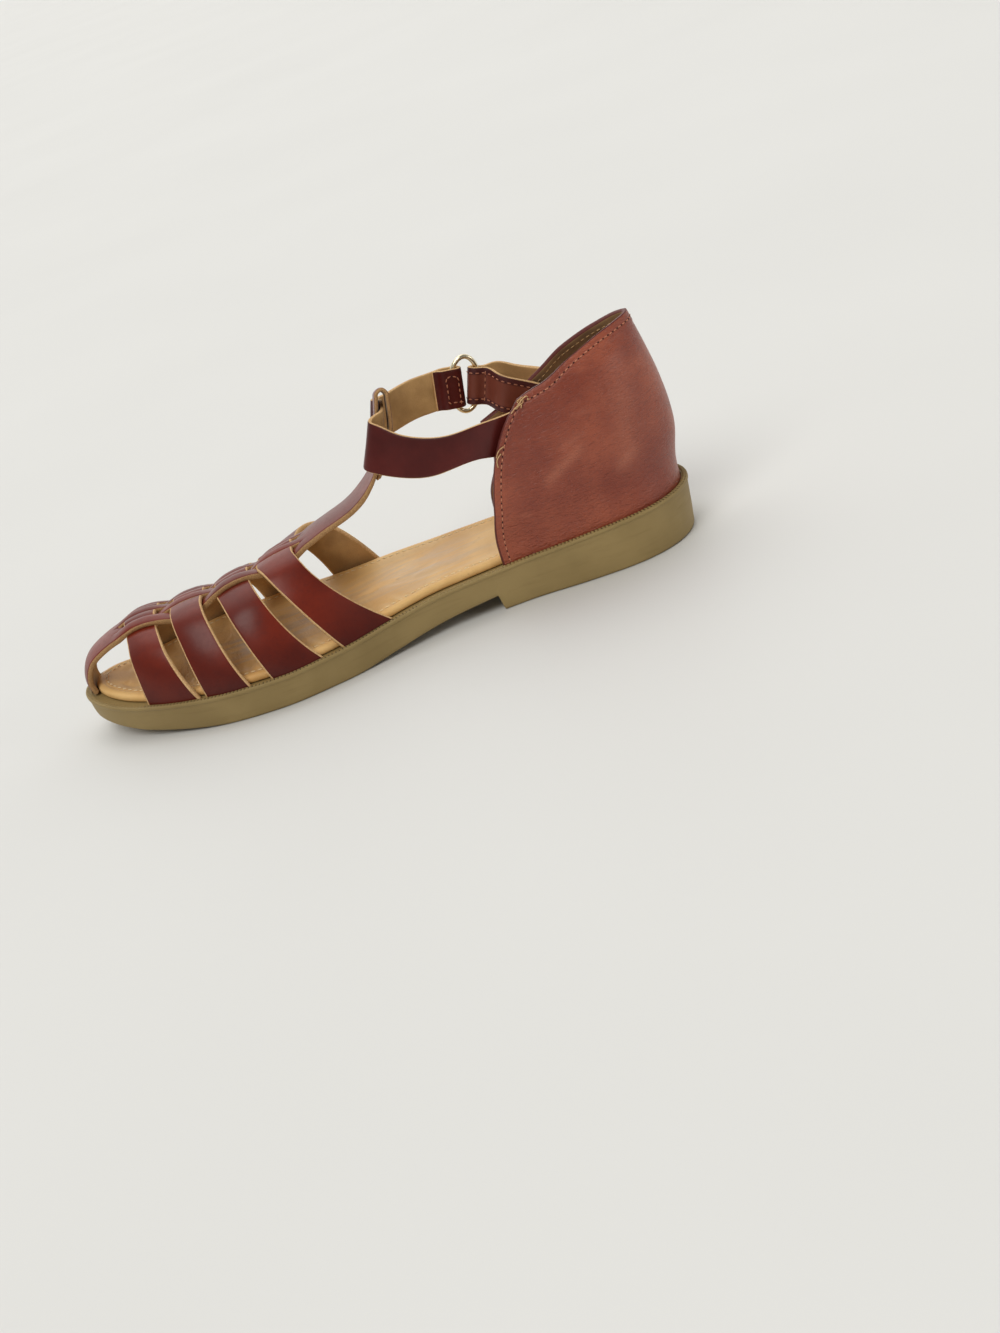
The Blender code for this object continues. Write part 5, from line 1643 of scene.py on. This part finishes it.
def make_closure_strap():
    """Strap from the lateral counter to the ring, folded round its wire into a rearward tab."""
    half = CLOSURE_WIDTH / 2
    turn = fold_turn(-CLOSURE_NOSE, -1, -1)
    tops, lows = edge_lines(CLOSURE_INNER)
    for at in ((CLOSURE_PARTS_AHEAD, -FOLD_RADIUS), turn[0]):
        tops.append(by_ring(CLOSURE_TILT, *at, half))
        lows.append(by_ring(CLOSURE_TILT, *at, -half))
    lines = list(zip(smooth(tops, 30), smooth(lows, 30)))
    lines += [(by_ring(CLOSURE_TILT, *at, half), by_ring(CLOSURE_TILT, *at, -half)) for at in turn[1:-1]]
    folded = len(lines)
    tops, lows = edge_lines(CLOSURE_TAB)
    for at in ((CLOSURE_PARTS_AHEAD, FOLD_RADIUS), turn[-1]):
        tops.insert(0, by_ring(CLOSURE_TILT, *at, half))
        lows.insert(0, by_ring(CLOSURE_TILT, *at, -half))
    lines += list(zip(smooth(tops, 50), smooth(lows, 50)))
    _, outward = ring_frame()
    grid = facing(ribbon_grid(lines), outward, 0.85)
    down, over_run = run_both_ways(grid)
    to_tip = down[-1:] - down
    cut = np.clip(1 - to_tip / TAB_CORNER_RADIUS, 0, 1)
    cut = TAB_CORNER_RADIUS * (1 - np.sqrt(1 - cut ** 2))
    width = over_run[:, -1:]
    squeeze = (width - 2 * cut) / width
    centre = (grid[:, :1] + grid[:, -1:]) / 2
    grid = centre + (grid - centre) * squeeze[..., None]
    fold_at = down[int(np.argmin(np.linalg.norm(grid[:, 0] - lines[folded][0], axis=1))), 0]
    thicker = ease((down - fold_at - TAB_THICKENS_FROM) / TAB_THICKENS_OVER)
    thickness = STRAP_THICKNESS + (TAB_THICKNESS - STRAP_THICKNESS) * thicker
    strap_piece("closure_strap", grid, thickness, ["closure_strap"], CLOSURE)

    normals = grid_normals(grid)
    face = grid + normals * (thickness / 2 + 0.08)[..., None]
    tab_first = int(np.argmax(down[:, 0] > fold_at + TAB_STITCHES_FROM))
    paths = [(*inset_path(face[tab_first:], normals[tab_first:], TAB_STITCH_INSET), False)]
    inner_end = int(np.argmax(down[:, 0] > fold_at + INNER_STITCHES_TO))
    for column in (5, -6):
        paths.append((face[:inner_end, column], normals[:inner_end, column], False))
    for away in CLOSURE_CROSS_SEAMS:
        i = int(np.argmin(np.abs(down[:, 0] - fold_at - away)))
        paths.append((face[i, 5:-5], normals[i, 5:-5], False))
    beads("closure_stitches", paths, CLOSURE_PITCH, CLOSURE_STITCH, HEM_THREAD,
          shade_spot=(0.2, 0.2, 0.1))


def make_ring():
    """Oval plated wire ring, higher than wide, leaning as the straps do."""
    _, outward = ring_frame()
    forward, upward = tilted(RING_TILT)
    around, section = 120, 20
    i, j = np.meshgrid(np.arange(around), np.arange(section), indexing="ij")
    angle, turn = (2 * math.pi * i / around)[..., None], (2 * math.pi * j / section)[..., None]
    spoke = forward * RING_HALF_WIDTH * np.cos(angle) + upward * RING_HALF_HEIGHT * np.sin(angle)
    along = upward * RING_HALF_HEIGHT * np.cos(angle) - forward * RING_HALF_WIDTH * np.sin(angle)
    beside = np.cross(along, outward)
    beside /= np.linalg.norm(beside, axis=2)[..., None]
    points = place(*RING_CENTRE) + spoke + (beside * np.cos(turn) + outward * np.sin(turn)) * RING_WIRE_RADIUS
    numbers = np.arange(around * section).reshape(around, section)
    ahead, beside = np.roll(numbers, -1, axis=0), np.roll(numbers, -1, axis=1)
    faces = np.stack((numbers, ahead, np.roll(ahead, -1, axis=1), beside), axis=-1).reshape(-1, 4)
    mesh = make_mesh("ring", points.reshape(-1, 3), faces.tolist(), [GOLD])
    outward_faces(mesh)
    finish_piece(mesh, "ring", ["ring"], sharp=80.0)


# ---------------------------------------------------------------- stage

CAMERA_AT = (52.5, -747.2, 290.7)
CAMERA_YAW, CAMERA_DROP, CAMERA_ROLL = (math.radians(a) for a in (1.62, 23.44, 20.19))
CAMERA_LENS = 53.93
LIGHTS = (
    ("front_panel", -118.0, 50.0, 36.0, 1.42, (1.0, 0.985, 0.94)),
    ("ceiling_panel", 110.0, 66.0, 50.0, 0.66, (1.0, 0.99, 0.96)),
    ("side_window", -30.0, 14.0, 20.0, 0.35, (1.0, 0.97, 0.92)),
)
ROOM_GLOW = {"From Min": -0.2, "From Max": 0.7, "To Min": 0.24, "To Max": 1.18}
ROOM_TONE = 0.8
FLOOR_RADIUS = 40000.0


def make_camera():
    """The view from above the medial side, a little turned about its own axis."""
    data = bpy.data.cameras.new("camera")
    data.sensor_width = 36.0
    data.lens = CAMERA_LENS
    data.clip_start, data.clip_end = 0.01, 50.0
    camera = bpy.data.objects.new("camera", data)
    camera.location = [v * MM for v in CAMERA_AT]
    level_reach = math.cos(CAMERA_DROP)
    ahead = Vector((-math.sin(CAMERA_YAW) * level_reach, math.cos(CAMERA_YAW) * level_reach,
                    -math.sin(CAMERA_DROP)))
    level = ahead.to_track_quat("-Z", "Y")
    camera.rotation_mode = "QUATERNION"
    camera.rotation_quaternion = level @ Quaternion((0.0, 0.0, 1.0), -CAMERA_ROLL)
    bpy.context.scene.collection.objects.link(camera)
    bpy.context.scene.camera = camera


def make_floor():
    """Wide plain floor, even in tone as far as the camera sees."""
    finish = Finish("floor_paint", roughness=0.6)
    cloud = finish.noise(0.004, 2.0)
    finish.set(Base_Color=finish.mix(cloud, (0.66, 0.66, 0.65, 1.0), (0.70, 0.70, 0.69, 1.0)))
    sides = 64
    turns = [2 * math.pi * k / sides for k in range(sides)]
    vertices = [(FLOOR_RADIUS * math.cos(turn), FLOOR_RADIUS * math.sin(turn), 0.0) for turn in turns]
    mesh = make_mesh("floor", vertices, [tuple(range(sides))], [finish.material])
    floor = bpy.data.objects.new("floor", mesh)
    bpy.context.scene.collection.objects.link(floor)


def make_light(name, turn, height, softness, strength, colour):
    """Wide soft light from far off; turn is its bearing from the heel's side, height above the floor."""
    data = bpy.data.lights.new(name, "SUN")
    data.angle = math.radians(softness)
    data.energy = strength
    data.color = colour
    light = bpy.data.objects.new(name, data)
    turn, height = math.radians(turn), math.radians(height)
    source = Vector((math.cos(turn) * math.cos(height), math.sin(turn) * math.cos(height), math.sin(height)))
    light.rotation_mode = "QUATERNION"
    light.rotation_quaternion = (-source).to_track_quat("-Z", "Y")
    bpy.context.scene.collection.objects.link(light)


def make_stage():
    """Floor, lights, and a pale room that is brighter behind the sandal than before it."""
    make_floor()
    for light in LIGHTS:
        make_light(*light)
    world = bpy.data.worlds.new("soft_room")
    world.use_nodes = True
    tree = world.node_tree
    way = tree.nodes.new("ShaderNodeTexCoord")
    split = tree.nodes.new("ShaderNodeSeparateXYZ")
    glow = tree.nodes.new("ShaderNodeMapRange")
    for name, value in ROOM_GLOW.items():
        glow.inputs[name].default_value = value
    tree.links.new(way.outputs["Generated"], split.inputs[0])
    tree.links.new(split.outputs["Y"], glow.inputs["Value"])
    background = tree.nodes["Background"]
    background.inputs["Color"].default_value = (0.97, 0.96, 0.925, 1.0)
    # Seen directly the room is as pale as the floor from every side; the gradient only lights the sandal
    direct = tree.nodes.new("ShaderNodeLightPath")
    shown = tree.nodes.new("ShaderNodeMix")
    shown.inputs["B"].default_value = ROOM_TONE
    tree.links.new(direct.outputs["Is Camera Ray"], shown.inputs["Factor"])
    tree.links.new(glow.outputs["Result"], shown.inputs["A"])
    tree.links.new(shown.outputs["Result"], background.inputs["Strength"])
    bpy.context.scene.world = world
    bpy.context.scene.view_settings.view_transform = "Standard"


make_sole()
make_insole()
make_vamp()
for strap_index in range(len(CROSS_STRAPS.rows)):
    make_cross_strap(strap_index)
make_counter()
make_ankle_strap()
make_closure_strap()
make_ring()
make_stage()
make_camera()
